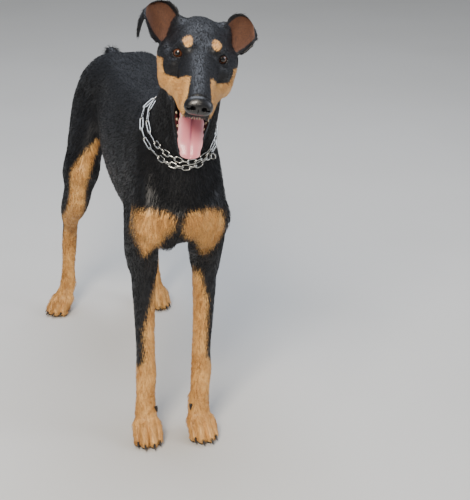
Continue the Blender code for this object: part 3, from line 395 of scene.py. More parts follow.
def surface_net(values: Array, low: Array, cell: float) -> tuple[Array, Array]:
    """Vertices and quads of the zero surface, with one vertex in each cube that it crosses.

    A vertex is the mean of the places where the cube's edges cross zero, each found by linear
    interpolation, and a quad joins the four cubes round each crossed edge.

    Args:
        values: distances on a grid.
        low: the grid's lowest corner.
        cell: the side of a cube.

    Returns:
        Points, and quads of their numbers that face out.
    """
    count = np.array(values.shape)
    stride = np.array([count[1] * count[2], count[2], 1])
    total, hits = np.zeros((count.prod(), 3)), np.zeros(count.prod())
    rings, flips = [], []
    for axis in range(3):
        first = [slice(1, -1)] * 3
        second = list(first)
        second[axis] = slice(2, None)
        a, b = values[tuple(first)], values[tuple(second)]
        crossed = np.argwhere((a < 0) != (b < 0)) + 1
        start = values[tuple(crossed.T)]
        step = np.eye(3, dtype=int)[axis]
        stop = values[tuple((crossed + step).T)]
        place = crossed + np.outer(start / (start - stop), step)
        u, v = stride[(axis + 1) % 3], stride[(axis + 2) % 3]
        flat = crossed @ stride
        ring = np.stack([flat - u - v, flat - v, flat, flat - u], 1)
        for cube in ring.T:
            for k in range(3):
                total[:, k] += np.bincount(cube, place[:, k], len(total))
            hits += np.bincount(cube, minlength=len(hits))
        rings.append(ring)
        flips.append(start > 0)
    ring, flip = np.concatenate(rings), np.concatenate(flips)
    ring[flip] = ring[flip][:, ::-1]
    used, faces = np.unique(ring, return_inverse=True)
    return low + cell * total[used] / hits[used][:, None], faces.reshape(-1, 4)


def slope_of(form: Form, points: Array, step: float = 0.0004) -> Array:
    """The form's outward direction at each point, by central differences."""
    ahead = np.stack([in_batches(form, points + step * e) for e in np.eye(3)], 1)
    behind = np.stack([in_batches(form, points - step * e) for e in np.eye(3)], 1)
    return rows_unit(ahead - behind)


def onto(form: Form, points: Array, reach: float, rounds: int = 2) -> Array:
    """Points moved along the form's slope onto its zero surface, if they are within reach of it."""
    for _ in range(rounds):
        away = in_batches(form, points)
        away[np.abs(away) > reach] = 0
        points = points - slope_of(form, points) * away[:, None]
    return points


@dataclass
class Shell:
    """A surface of triangles, with named values at its points."""

    points: Array
    triangles: Array
    marks: dict[str, Array] = field(default_factory=dict)

    def facing_out(self) -> "Shell":
        """The shell with its triangles turned so that the volume they enclose is positive."""
        a, b, c = (self.points[self.triangles[:, k]] for k in range(3))
        if (a * np.cross(b, c)).sum() < 0:
            self.triangles = self.triangles[:, ::-1]
        return self

    def moved(self, origin: Array, matrix: Array, size: float = 1.0) -> "Shell":
        """The shell moved from a frame of its own into another one."""
        return Shell(self.points @ matrix.T * size + origin, self.triangles, self.marks)


def joined(shells: Sequence[Shell]) -> Shell:
    """Several shells as one, with the marks that all of them have."""
    firsts = np.cumsum([0] + [len(shell.points) for shell in shells[:-1]])
    triangles = [shell.triangles + first for shell, first in zip(shells, firsts)]
    names = set.intersection(*[set(shell.marks) for shell in shells])
    marks = {name: np.concatenate([shell.marks[name] for shell in shells]) for name in names}
    return Shell(np.concatenate([shell.points for shell in shells]), np.concatenate(triangles), marks)


def halves(quads: Array) -> Array:
    """Two triangles for each quad."""
    return np.concatenate([quads[:, [0, 1, 2]], quads[:, [0, 2, 3]]])


def ring_quads(rings: int, around: int, looped: bool) -> Array:
    """Quads between rings of points that follow one another."""
    count = rings if looped else rings - 1
    ring, place = np.meshgrid(np.arange(count), np.arange(around), indexing="ij")
    after, beside = (ring + 1) % rings, (place + 1) % around
    corners = (ring * around + place, ring * around + beside)
    corners += (after * around + beside, after * around + place)
    return np.stack(corners, -1).reshape(-1, 4)


def capped(rings: Array, start: Array, stop: Array) -> Shell:
    """A closed shell of rings of points with a pole at each end.

    Args:
        rings: an array of rings by points around by three.
        start: the pole before the first ring.
        stop: the pole after the last ring.

    Returns:
        The shell, facing out.
    """
    count, around = rings.shape[:2]
    points = np.vstack([rings.reshape(-1, 3), start, stop])
    place = np.arange(around)
    beside = (place + 1) % around
    last = (count - 1) * around
    first_fan = np.stack([beside, place, np.full(around, count * around)], 1)
    last_fan = np.stack([last + place, last + beside, np.full(around, count * around + 1)], 1)
    triangles = np.concatenate([halves(ring_quads(count, around, False)), first_fan, last_fan])
    return Shell(points, triangles).facing_out()


def ringed(centres: Array, first: Array, second: Array, around: int) -> Array:
    """Ellipses about each centre: centre + first cos(a) + second sin(a), for a round the circle."""
    turn = np.arange(around) / around * math.tau
    return centres[:, None] + first[:, None] * np.cos(turn)[:, None] + second[:, None] * np.sin(turn)[:, None]


def wire_loop(path: Array, radius: float, facing: Array, around: int = 8) -> Shell:
    """A closed ring of round wire along a looped path.

    Args:
        path: points of the loop, without the first one repeated.
        radius: the wire's radius.
        facing: a direction that isn't along the path anywhere.
        around: points round the wire.

    Returns:
        The shell, facing out.
    """
    along = rows_unit(np.roll(path, -1, 0) - np.roll(path, 1, 0))
    across = rows_unit(np.cross(along, facing))
    rings = ringed(path, across * radius, np.cross(across, along) * radius, around)
    return Shell(rings.reshape(-1, 3), halves(ring_quads(len(path), around, True))).facing_out()


def horn(
    root: Array, lean: Array, length: float, radius: float, bend: float = 0.0, around: int = 10
) -> Shell:
    """A tapered, bent point: claw or tooth, whose radius falls as (1 - s^1.6)^0.8 to its tip.

    Args:
        root: where it leaves what bears it; it starts a little inside that.
        lean: its direction.
        length: its length from the root.
        radius: its radius at the root.
        bend: how far its tip droops.
        around: points round it.

    Returns:
        The shell.
    """
    lean = unit(lean)
    share = np.array([-0.25, 0.0, 0.25, 0.5, 0.7, 0.86, 0.95])
    droop = np.outer(np.sign(share) * share**2 * bend, (0, 0, -1.0))
    centres = np.asarray(root) + np.outer(share * length, lean) + droop
    across = unit(np.cross(lean, (0.3, 0.2, 1)))
    width = radius * (1 - np.clip(share, 0, 1) ** 1.6) ** 0.8
    rings = ringed(centres, np.outer(width, across) * 0.85, np.outer(width, np.cross(lean, across)), around)
    tip = np.asarray(root) + length * lean + np.array((0, 0, -bend))
    return capped(rings, centres[0], tip)


def piece(
    name: str, shell: Shell, finish: "Finish", nodes: Iterable[str] = ()
) -> bpy.types.Object:
    """A finished object of the shell, with its marks as point attributes.

    Args:
        name: the object's name.
        shell: its surface in the dog's frame.
        finish: its material.
        nodes: the frame's nodes that it stands for.

    Returns:
        The object, riding on the body.
    """
    mesh = bpy.data.meshes.new(name)
    placed = shell.points + STANCE
    placed[:, 2] = np.maximum(placed[:, 2], 0.0)
    fill_mesh(mesh, placed, shell.triangles)
    for label, values in shell.marks.items():
        kind = "FLOAT_VECTOR" if values.ndim == 2 else "FLOAT"
        values = np.ascontiguousarray(values, np.float32)
        layer = mesh.attributes.new(label, kind, "POINT")
        layer.data.foreach_set("vector" if values.ndim == 2 else "value", values.ravel())
    mesh.materials.append(finish.material())
    made = bpy.data.objects.new(name, mesh)
    bpy.context.scene.collection.objects.link(made)
    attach(made, "root")
    if nodes:
        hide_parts(*nodes)
    log.info("%s: %d triangles", name, len(shell.triangles))
    return made


def fill_mesh(mesh: bpy.types.Mesh, points: Array, triangles: Array) -> None:
    """Put points and triangles into an empty mesh, smooth shaded."""
    mesh.vertices.add(len(points))
    mesh.vertices.foreach_set("co", np.ascontiguousarray(points, np.float32).ravel())
    mesh.loops.add(triangles.size)
    mesh.loops.foreach_set("vertex_index", np.ascontiguousarray(triangles, np.int32).ravel())
    mesh.polygons.add(len(triangles))
    mesh.polygons.foreach_set("loop_start", np.arange(0, triangles.size, 3, dtype=np.int32))
    mesh.polygons.foreach_set("loop_total", np.full(len(triangles), 3, np.int32))
    mesh.update(calc_edges=True)
    mesh.shade_smooth()


def linear(code: str) -> tuple[float, float, float, float]:
    """An sRGB hex colour as linear red, green, blue and alpha."""
    values = np.array([int(code[i : i + 2], 16) for i in (1, 3, 5)]) / 255
    values = np.where(values <= 0.04045, values / 12.92, ((values + 0.055) / 1.055) ** 2.4)
    return (*values.tolist(), 1.0)


def add(tree: bpy.types.NodeTree, kind: str, inputs: dict[Any, Any], **settings: Any) -> bpy.types.Node:
    """Add a node with its settings, values and links.

    Args:
        tree: the node tree.
        kind: the node's type name without ShaderNode.
        inputs: values or output sockets by the input's name or number.
        settings: the node's properties.

    Returns:
        The node.
    """
    node = tree.nodes.new("ShaderNode" + kind)
    for name, value in settings.items():
        setattr(node, name, value)
    for name, value in inputs.items():
        if isinstance(value, bpy.types.NodeSocket):
            tree.links.new(value, node.inputs[name])
        else:
            node.inputs[name].default_value = value
    return node


class Finish:
    """A material that is made once and shared."""

    name: str

    def material(self) -> bpy.types.Material:
        """The material, made on first use."""
        found = bpy.data.materials.get(self.name)
        if found:
            return found
        made = bpy.data.materials.new(self.name)
        made.use_nodes = True
        made.node_tree.nodes.clear()
        shader = self.paint(made.node_tree)
        output = made.node_tree.nodes.new("ShaderNodeOutputMaterial")
        made.node_tree.links.new(shader.outputs[0], output.inputs[0])
        return made

    def paint(self, tree: bpy.types.NodeTree) -> bpy.types.Node:
        """Build the nodes and return the shader."""
        raise NotImplementedError


@dataclass(frozen=True)
class ShortHair(Finish):
    """Short flat guard hair over skin, as on a smooth-coated dog.

    Hair strands lie close and parallel, so the eye sees fine streaks along the lie of the coat, a
    broad cool gloss on black, helped by a painted blue sheen in the colour of its lighter streaks, and a
    dry warm look on rust, with feathered borders between them. The streaks are drawn about 0.8 mm
    wide, as locks of hair show at this distance, not single hairs.
    """

    name: str = "short_guard_hair"
    lock_width: float = 0.0008
    lock_length: float = 0.013
    black_deep: str = "#060709"
    # lighter streaks of the black coat, tinted blue as a painted sheen
    black_streak_sheen: str = "#111319"
    rust_deep: str = "#9c6127"
    rust_light: str = "#efbb70"
    lip_black: str = "#0c0b0d"
    ear_skin: str = "#33201c"
    ear_hair: str = "#6b4630"
    mouth_skin: str = "#4a2024"
    pad_black: str = "#15130f"

    def paint(self, tree: bpy.types.NodeTree) -> bpy.types.Node:
        """Streaks follow the lie of the coat, and borders are moved by the streaks."""
        place = add(tree, "TexCoord", {}).outputs["Object"]
        streaks = []
        for angle in (0, 90, 45, -45):
            scale = (self.lock_width, self.lock_length, self.lock_width)
            turn = (math.radians(angle), 0, 0)
            settings = {"Vector": place, "Rotation": turn, "Scale": scale}
            across = add(tree, "Mapping", settings, vector_type="TEXTURE").outputs[0]
            noise = add(tree, "TexNoise", {"Vector": across, "Scale": 1.0, "Detail": 2.0, "Roughness": 0.6})
            streaks.append(noise.outputs[0])
        lie = add(tree, "Attribute", {}, attribute_name="lie").outputs["Vector"]
        others = add(tree, "CombineXYZ", {0: streaks[1], 1: streaks[2], 2: streaks[3]}).outputs[0]
        turned_part = add(tree, "VectorMath", {0: lie, 1: others}, operation="DOT_PRODUCT").outputs["Value"]
        whole = add(tree, "VectorMath", {0: lie, 1: (1, 1, 1)}, operation="DOT_PRODUCT").outputs["Value"]
        rest = add(tree, "Math", {0: 1.0, 1: whole}, operation="SUBTRACT").outputs[0]
        streak = add(
            tree, "Math", {0: rest, 1: streaks[0], 2: turned_part}, operation="MULTIPLY_ADD"
        ).outputs[0]
        crisp = add(
            tree, "MapRange", {"Value": streak, "From Min": 0.32, "From Max": 0.68}
        ).outputs[0]

        cloud = add(tree, "TexNoise", {"Vector": place, "Scale": 28.0, "Detail": 2.0}).outputs[0]
        tone = add(tree, "Attribute", {}, attribute_name="tone").outputs["Fac"]
        wave = add(tree, "Math", {0: crisp, 1: tone}, operation="ADD").outputs[0]
        # deep black mixed with lighter streaks whose blue tint is a painted sheen
        black = add(
            tree,
            "Mix",
            {0: wave, 6: linear(self.black_deep), 7: linear(self.black_streak_sheen)},
            data_type="RGBA",
        ).outputs[2]
        warm = add(tree, "Math", {0: wave, 1: 0.55, 2: cloud}, operation="MULTIPLY_ADD").outputs[0]
        warm = add(tree, "MapRange", {"Value": warm, "From Min": 0.25, "From Max": 1.15}).outputs[0]
        rust = add(
            tree,
            "Mix",
            {0: warm, 6: linear(self.rust_deep), 7: linear(self.rust_light)},
            data_type="RGBA",
        ).outputs[2]
        colour = self.over(tree, "rust", black, rust, crisp, 1.7)
        inner = add(
            tree,
            "Mix",
            {0: crisp, 6: linear(self.ear_skin), 7: linear(self.ear_hair)},
            data_type="RGBA",
        ).outputs[2]
        colour = self.over(tree, "ear", colour, inner, crisp, 0.8)
        colour = self.over(tree, "lip", colour, linear(self.lip_black), crisp, 0.4)
        colour = self.over(tree, "mouth", colour, linear(self.mouth_skin), crisp, 0.1)
        colour = self.over(tree, "pad", colour, linear(self.pad_black), crisp, 0.2)

        wet = add(tree, "Attribute", {}, attribute_name="lip").outputs["Fac"]
        wet = add(tree, "MapRange", {"Value": wet, "From Min": 0.0, "From Max": 1.0}).outputs[0]
        dry = add(tree, "MapRange", {"Value": crisp, "To Min": 0.42, "To Max": 0.58}).outputs[0]
        rough = add(tree, "Mix", {0: wet, 2: dry, 3: 0.30}, data_type="FLOAT").outputs[0]
        bare = add(tree, "Attribute", {}, attribute_name="ear").outputs["Fac"]
        bare = add(tree, "MapRange", {"Value": bare, "From Min": 0.0, "From Max": 1.0}).outputs[0]
        rough = add(tree, "Mix", {0: bare, 2: rough, 3: 0.85}, data_type="FLOAT").outputs[0]
        bump = add(tree, "Bump", {"Strength": 0.18, "Distance": 0.0005, "Height": streak}).outputs[0]
        return add(
            tree,
            "BsdfPrincipled",
            {
                "Base Color": colour,
                "Roughness": rough,
                "Normal": bump,
                "Specular IOR Level": 0.42,
                "Sheen Weight": 0.03,
                "Sheen Roughness": 0.4,
                "Sheen Tint": linear("#aab6d0"),
            },
        )

    def over(
        self, tree: bpy.types.NodeTree, mark: str, under: Any, above: Any, streak: Any, ragged: float
    ) -> Any:
        """Lay a colour where a mark is above zero, with a border moved by the streaks.

        Args:
            tree: the node tree.
            mark: the attribute's name.
            under: the colour where the mark is below zero.
            above: the colour where the mark is above zero.
            streak: the streaks, from 0 to 1.
            ragged: how far the streaks move the border.

        Returns:
            The mixed colour's socket.
        """
        value = add(tree, "Attribute", {}, attribute_name=mark).outputs["Fac"]
        shift = add(tree, "Math", {0: streak, 1: 0.5}, operation="SUBTRACT").outputs[0]
        moved = add(tree, "Math", {0: shift, 1: ragged, 2: value}, operation="MULTIPLY_ADD").outputs[0]
        ends = {"Value": moved, "From Min": -0.5, "From Max": 0.5}
        share = add(tree, "MapRange", ends, interpolation_type="SMOOTHSTEP").outputs[0]
        return add(tree, "Mix", {0: share, 6: under, 7: above}, data_type="RGBA").outputs[2]


@dataclass(frozen=True)
class MoistSkin(Finish):
    """Moist, pebbled bare skin, as on a dog's nose: small shining bumps about 0.9 mm across."""

    name: str = "moist_nose_leather"
    colour: str = "#08080a"
    light: str = "#131316"
    pebble: float = 0.0009
    roughness: float = 0.30

    def paint(self, tree: bpy.types.NodeTree) -> bpy.types.Node:
        """Cells of pebbles, each raised in the middle."""
        place = add(tree, "TexCoord", {}).outputs["Object"]
        cells = add(tree, "TexVoronoi", {"Vector": place, "Scale": 1 / self.pebble}).outputs["Distance"]
        colour = add(
            tree, "Mix", {0: cells, 6: linear(self.light), 7: linear(self.colour)}, data_type="RGBA"
        ).outputs[2]
        bump = add(
            tree, "Bump", {"Strength": 0.55, "Distance": 0.0004, "Height": cells}, invert=True
        ).outputs[0]
        settings = {"Base Color": colour, "Roughness": self.roughness, "Normal": bump}
        return add(tree, "BsdfPrincipled", {**settings, "Coat Weight": 0.35, "Coat Roughness": 0.12})


@dataclass(frozen=True)
class WetEye(Finish):
    """A living eye: a wet, clear front over a brown iris with a black pupil and a dark rim."""

    name: str = "wet_brown_eye"
    pupil: str = "#020202"
    iris_inner: str = "#633c26"
    iris_outer: str = "#301b12"
    white: str = "#3a2a26"

    def paint(self, tree: bpy.types.NodeTree) -> bpy.types.Node:
        """Colours follow the angle from the line of sight, which is the mark axis, from 0 to 1."""
        axis = add(tree, "Attribute", {}, attribute_name="axis").outputs["Fac"]
        ramp = add(tree, "ValToRGB", {0: axis})
        ramp.color_ramp.elements[0].position = 0.235
        ramp.color_ramp.elements[0].color = linear(self.pupil)
        stops = ((0.275, self.iris_inner), (0.55, self.iris_outer), (0.62, self.pupil), (0.75, self.white))
        for at, colour in stops:
            ramp.color_ramp.elements.new(at).color = linear(colour)
        ramp.color_ramp.elements[-1].color = linear(self.white)
        settings = {"Base Color": ramp.outputs[0], "Roughness": 0.25, "Coat Weight": 1.0}
        return add(tree, "BsdfPrincipled", {**settings, "Coat Roughness": 0.02, "Coat IOR": 1.38})


@dataclass(frozen=True)
class TongueSkin(Finish):
    """A wet tongue: soft pink flesh with fine papillae, a mauve furrow and paler edges."""

    name: str = "wet_tongue"
    pink: str = "#de8690"
    pale: str = "#ecb6b6"
    furrow: str = "#a85a70"
    papilla: float = 0.0007

    def paint(self, tree: bpy.types.NodeTree) -> bpy.types.Node:
        """The marks furrow and edge place the darker and the paler flesh."""
        place = add(tree, "TexCoord", {}).outputs["Object"]
        grain = add(tree, "TexNoise", {"Vector": place, "Scale": 1 / self.papilla, "Detail": 1.0}).outputs[0]
        cloud = add(tree, "TexNoise", {"Vector": place, "Scale": 90.0, "Detail": 2.0}).outputs[0]
        edge = add(tree, "Attribute", {}, attribute_name="edge").outputs["Fac"]
        furrow = add(tree, "Attribute", {}, attribute_name="furrow").outputs["Fac"]
        share = add(tree, "Math", {0: cloud, 1: edge}, operation="MULTIPLY").outputs[0]
        pink = add(
            tree, "Mix", {0: share, 6: linear(self.pink), 7: linear(self.pale)}, data_type="RGBA"
        ).outputs[2]
        colour = add(tree, "Mix", {0: furrow, 6: pink, 7: linear(self.furrow)}, data_type="RGBA").outputs[2]
        bump = add(tree, "Bump", {"Strength": 0.35, "Distance": 0.0003, "Height": grain}).outputs[0]
        settings = {"Base Color": colour, "Roughness": 0.42, "Normal": bump, "Subsurface Weight": 0.15}
        settings["Subsurface Radius"] = (0.004, 0.0015, 0.001)
        return add(tree, "BsdfPrincipled", {**settings, "Coat Weight": 0.35, "Coat Roughness": 0.15})


@dataclass(frozen=True)
class Enamel(Finish):
    """Tooth enamel: glossy ivory, a little yellower in soft clouds."""

    name: str = "tooth_enamel"
    ivory: str = "#e4d9be"
    shade: str = "#bda77c"

    def paint(self, tree: bpy.types.NodeTree) -> bpy.types.Node:
        """Soft clouds about 4 mm across mix ivory and its shade."""
        place = add(tree, "TexCoord", {}).outputs["Object"]
        cloud = add(tree, "TexNoise", {"Vector": place, "Scale": 250.0, "Detail": 1.0}).outputs[0]
        colour = add(
            tree, "Mix", {0: cloud, 6: linear(self.ivory), 7: linear(self.shade)}, data_type="RGBA"
        ).outputs[2]
        return add(tree, "BsdfPrincipled", {"Base Color": colour, "Roughness": 0.22})


@dataclass(frozen=True)
class ClawHorn(Finish):
    """Claw horn: black, with fine growth lines along it and a dull worn shine."""

    name: str = "claw_horn"
    deep: str = "#0d0b0a"
    light: str = "#2f2823"
    line: float = 0.0006

    def paint(self, tree: bpy.types.NodeTree) -> bpy.types.Node:
        """Growth lines run down the claw as stretched noise."""
        place = add(tree, "TexCoord", {}).outputs["Object"]
        scale = (self.line, self.line * 8, self.line * 4)
        across = add(tree, "Mapping", {"Vector": place, "Scale": scale}, vector_type="TEXTURE").outputs[0]
        lines = add(tree, "TexNoise", {"Vector": across, "Scale": 1.0, "Detail": 1.0}).outputs[0]
        colour = add(
            tree, "Mix", {0: lines, 6: linear(self.deep), 7: linear(self.light)}, data_type="RGBA"
        ).outputs[2]
        bump = add(tree, "Bump", {"Strength": 0.3, "Distance": 0.0002, "Height": lines}).outputs[0]
        return add(tree, "BsdfPrincipled", {"Base Color": colour, "Roughness": 0.35, "Normal": bump})


@dataclass(frozen=True)
class SteelWire(Finish):
    """Polished steel wire, with fine drawing scratches and a greyer wear in soft clouds."""

    name: str = "polished_steel_wire"
    bright: str = "#dcdcd8"
    worn: str = "#9f9e99"
    scratch: float = 0.0004

    def paint(self, tree: bpy.types.NodeTree) -> bpy.types.Node:
        """Clouds of wear change the colour and the roughness."""
        place = add(tree, "TexCoord", {}).outputs["Object"]
        wear = add(tree, "TexNoise", {"Vector": place, "Scale": 160.0, "Detail": 3.0}).outputs[0]
        lines = add(tree, "TexNoise", {"Vector": place, "Scale": 1 / self.scratch, "Detail": 1.0}).outputs[0]
        colour = add(
            tree, "Mix", {0: wear, 6: linear(self.bright), 7: linear(self.worn)}, data_type="RGBA"
        ).outputs[2]
        rough = add(tree, "MapRange", {"Value": wear, "To Min": 0.12, "To Max": 0.32}).outputs[0]
        bump = add(tree, "Bump", {"Strength": 0.1, "Distance": 0.0001, "Height": lines}).outputs[0]
        settings = {"Base Color": colour, "Roughness": rough, "Metallic": 1.0, "Normal": bump}
        return add(tree, "BsdfPrincipled", settings)


@dataclass(frozen=True)
class StudioFloor(Finish):
    """Plain matt studio floor, pale and even, with a faint mottle."""

    name: str = "matt_studio_floor"
    pale: str = "#d9d8d4"
    shade: str = "#cfcec9"

    def paint(self, tree: bpy.types.NodeTree) -> bpy.types.Node:
        """A faint mottle about half a metre across."""
        place = add(tree, "TexCoord", {}).outputs["Object"]
        cloud = add(tree, "TexNoise", {"Vector": place, "Scale": 2.0, "Detail": 2.0}).outputs[0]
        colour = add(
            tree, "Mix", {0: cloud, 6: linear(self.pale), 7: linear(self.shade)}, data_type="RGBA"
        ).outputs[2]
        return add(tree, "BsdfPrincipled", {"Base Color": colour, "Roughness": 0.85})


@dataclass(frozen=True)
class Trunk:
    """Torso, neck and docked tail, with the muscles of the back, chest and rump."""

    # Sections across the spine: y, top, bottom, half width
    sections: tuple[tuple[float, ...], ...] = (
        (-0.062, 0.520, 0.455, 0.040),
        (-0.030, 0.575, 0.424, 0.060),
        (0.010, 0.622, 0.404, 0.072),
        (0.060, 0.660, 0.393, 0.081),
        (0.120, 0.679, 0.388, 0.088),
        (0.200, 0.671, 0.388, 0.095),
        (0.280, 0.662, 0.400, 0.097),
        (0.360, 0.659, 0.422, 0.092),
        (0.430, 0.662, 0.447, 0.083),
        (0.490, 0.667, 0.465, 0.076),
        (0.550, 0.664, 0.474, 0.073),
        (0.600, 0.646, 0.488, 0.062),
        (0.640, 0.612, 0.510, 0.042),
    )
    # Sections across the neck's own line: x, y, z, half width, half depth
    neck: tuple[tuple[float, ...], ...] = (
        (0.000, 0.080, 0.570, 0.066, 0.096),
        (0.000, 0.015, 0.638, 0.060, 0.085),
        (-0.001, -0.045, 0.705, 0.056, 0.071),
        (-0.004, -0.098, 0.765, 0.052, 0.061),
        (-0.010, -0.142, 0.812, 0.049, 0.054),
        (-0.017, -0.176, 0.840, 0.045, 0.046),
    )
    tail: tuple[tuple[float, ...], ...] = (
        (-0.004, 0.585, 0.618, 0.024, 0.024),
        (-0.013, 0.616, 0.636, 0.018, 0.017),
        (-0.020, 0.630, 0.650, 0.0140, 0.0135),
    )

    def form(self) -> Blend:
        """The trunk's blended form."""
        trunk = [
            (0, y, (top + bottom) / 2, half_width, (top - bottom) / 2)
            for y, top, bottom, half_width in self.sections
        ]
        body = Blend((Tube(trunk, ends=(0.02, 0.02)), 0.01))
        body.add(Tube(self.neck, ends=(0.05, 0.03)), 0.05)
        for s in (-1, 1):
            loin = [(s * 0.032, 0.14, 0.640, 0.022, 0.030), (s * 0.034, 0.34, 0.630, 0.030, 0.030)]
            loin.append((s * 0.034, 0.52, 0.636, 0.030, 0.030))
            body.add(Tube(loin), 0.03)
            body.add(Ellipsoid((s * 0.034, -0.034, 0.478), (0.030, 0.028, 0.048)), 0.025)
            body.add(Ellipsoid((s * 0.042, 0.545, 0.612), (0.044, 0.075, 0.046)), 0.03)
        body.add(Tube(self.tail, ends=(0.01, 0.010)), 0.02)
        return body


@dataclass(frozen=True)
class ForeLimb:
    """A shoulder, upper arm, forearm and wrist, at these distances from the midline."""

    side: int
    spacing: tuple[float, float, float]
    paw: tuple[float, float]
    turn: float

    def form(self) -> Blend:
        """The limb's blended form, down to the paw."""
        side = self.side
        shoulder, elbow, wrist = self.spacing
        paw_x = abs(self.paw[0])
        blade = [
            (0.034, 0.100, 0.645, 0.015, 0.040),
            (shoulder - 0.008, 0.035, 0.565, 0.024, 0.050),
            (shoulder, -0.022, 0.490, 0.026, 0.038),
        ]
        upper_arm = [
            (shoulder, -0.022, 0.480, 0.026, 0.036),
            (shoulder, 0.020, 0.425, 0.027, 0.044),
            (elbow, 0.055, 0.375, 0.026, 0.040),
        ]
        shin = [
            (elbow, 0.056, 0.385, 0.0245, 0.0420),
            (elbow * 0.75 + wrist * 0.25, 0.046, 0.330, 0.0232, 0.0360),
            (elbow * 0.40 + wrist * 0.60, 0.037, 0.245, 0.0198, 0.0270),
            (wrist, 0.031, 0.170, 0.0190, 0.0210),
            (wrist, 0.028, 0.133, 0.0208, 0.0215),
            ((wrist + paw_x) / 2, 0.020 + self.paw[1] / 2, 0.098, 0.0195, 0.0185),
            (paw_x, 0.010 + self.paw[1], 0.058, 0.0200, 0.0170),
        ]
        limb = Blend()
        for stations in (blade, upper_arm, shin):
            limb.add(Tube([(side * x, *others) for x, *others in stations]), 0.02)
        triceps = Ellipsoid((side * shoulder, 0.068, 0.455), (0.025, 0.054, 0.078), (0, 0.95, -0.3))
        limb.add(triceps, 0.03)
        limb.add(Ellipsoid((side * (elbow - 0.003), 0.098, 0.386), (0.013, 0.015, 0.022)), 0.018)
        limb.add(Ellipsoid((side * wrist, 0.047, 0.128), (0.010, 0.009, 0.014)), 0.010)
        return limb


@dataclass(frozen=True)
class HindLimb:
    """A thigh, lower thigh, hock and rear pastern down to the paw."""

    side: int
    stifle: tuple[float, float, float]
    hock: tuple[float, float, float]
    paw: tuple[float, float]
    turn: float

    def form(self) -> Blend:
        """The limb's blended form, down to the paw."""
        side, stifle, hock = self.side, np.array(self.stifle), np.array(self.hock)
        instep = turned(self.turn) @ (0, 0.018, 0.062) + (*self.paw, 0)
        thigh = [
            (side * 0.056, 0.565, 0.590, 0.040, 0.074),
            (side * 0.082, 0.558, 0.495, 0.042, 0.078),
            (*(stifle + (0, 0.024, 0.022)), 0.036, 0.056),
        ]
        shin = [
            (*(stifle + (0, 0.012, 0.030)), 0.031, 0.040),
            (*(stifle + (side * 0.007, 0.045, -0.045)), 0.029, 0.044),
            (*(between(stifle, hock, 0.5) + (side * 0.009, 0.018, 0.000)), 0.0215, 0.0330),
            (*(between(stifle, hock, 0.8) + (0, 0.022, 0.008)), 0.0160, 0.0250),
            (*hock, 0.0168, 0.0215),
            (*between(hock, instep, 0.5), 0.0150, 0.0180),
            (*instep, 0.0168, 0.0160),
        ]
        limb = Blend()
        limb.add(Tube(thigh), 0.02)
        limb.add(Tube(shin, ends=(0.02, 0.01)), 0.025)
        limb.add(Ellipsoid(hock + (0, 0.020, 0.024), (0.0100, 0.0120, 0.0200), (0, 1, 0.25)), 0.012)
        limb.add(Ellipsoid((side * 0.066, 0.600, 0.525), (0.036, 0.050, 0.085), (0, 0.95, 0.3)), 0.03)
        return limb


@dataclass(frozen=True)
class Foot:
    """A foot of four arched toes with their pads and claws, and a heel pad."""

    origin: tuple[float, float]
    turn: float
    size: float
    inner_side: int
    toes: tuple[tuple[float, float], ...] = ((-0.0085, 0.0), (0.0085, 0.0), (-0.0205, 0.013), (0.0205, 0.013))

    def form(self) -> Placed:
        """The foot's form in the dog's frame."""
        foot = Blend()
        palm = [(0, 0.022, 0.075, 0.0175, 0.0170), (0, 0.010, 0.052, 0.0210, 0.0165)]
        palm.append((0, -0.006, 0.036, 0.0225, 0.0130))
        foot.add(Tube(palm), 0.01)
        toes = Blend()
        for x, back in self.toes:
            joints = [
                (x * 0.75, 0.004 + back / 2, 0.0370, 0.0080, 0.0090),
                (x, -0.017 + back, 0.0345, 0.0088, 0.0095),
                (x * 1.03, -0.032 + back, 0.0235, 0.0084, 0.0090),
                (x * 1.05, -0.043 + back, 0.0125, 0.0074, 0.0078),
            ]
            toes.add(Tube(joints), 0.0015)
            toes.add(Ellipsoid((x * 1.04, -0.036 + back, 0.0062), (0.0080, 0.0125, 0.0078)), 0.003)
        foot.add(toes, 0.007)
        foot.add(Ellipsoid((0, 0.004, 0.0095), (0.0165, 0.0135, 0.0112)), 0.006)
        return Placed(foot, (*self.origin, 0), turned(self.turn), self.size)

    def claws(self) -> Shell:
        """The claws of the toes, and the dewclaw of a forepaw."""
        claws = [((x * 1.05, -0.046 + back, 0.0135), (x * 4, -1, -0.30), 0.0155) for x, back in self.toes]
        if self.inner_side:
            dewclaw = ((self.inner_side * 0.0195, 0.002, 0.070), (self.inner_side * 0.25, -0.5, -0.9), 0.0085)
            claws.append(dewclaw)
        shells = [horn(np.array(root), lean, length, 0.0036, 0.0036) for root, lean, length in claws]
        return joined(shells).moved(np.array((*self.origin, 0)), turned(self.turn), self.size)


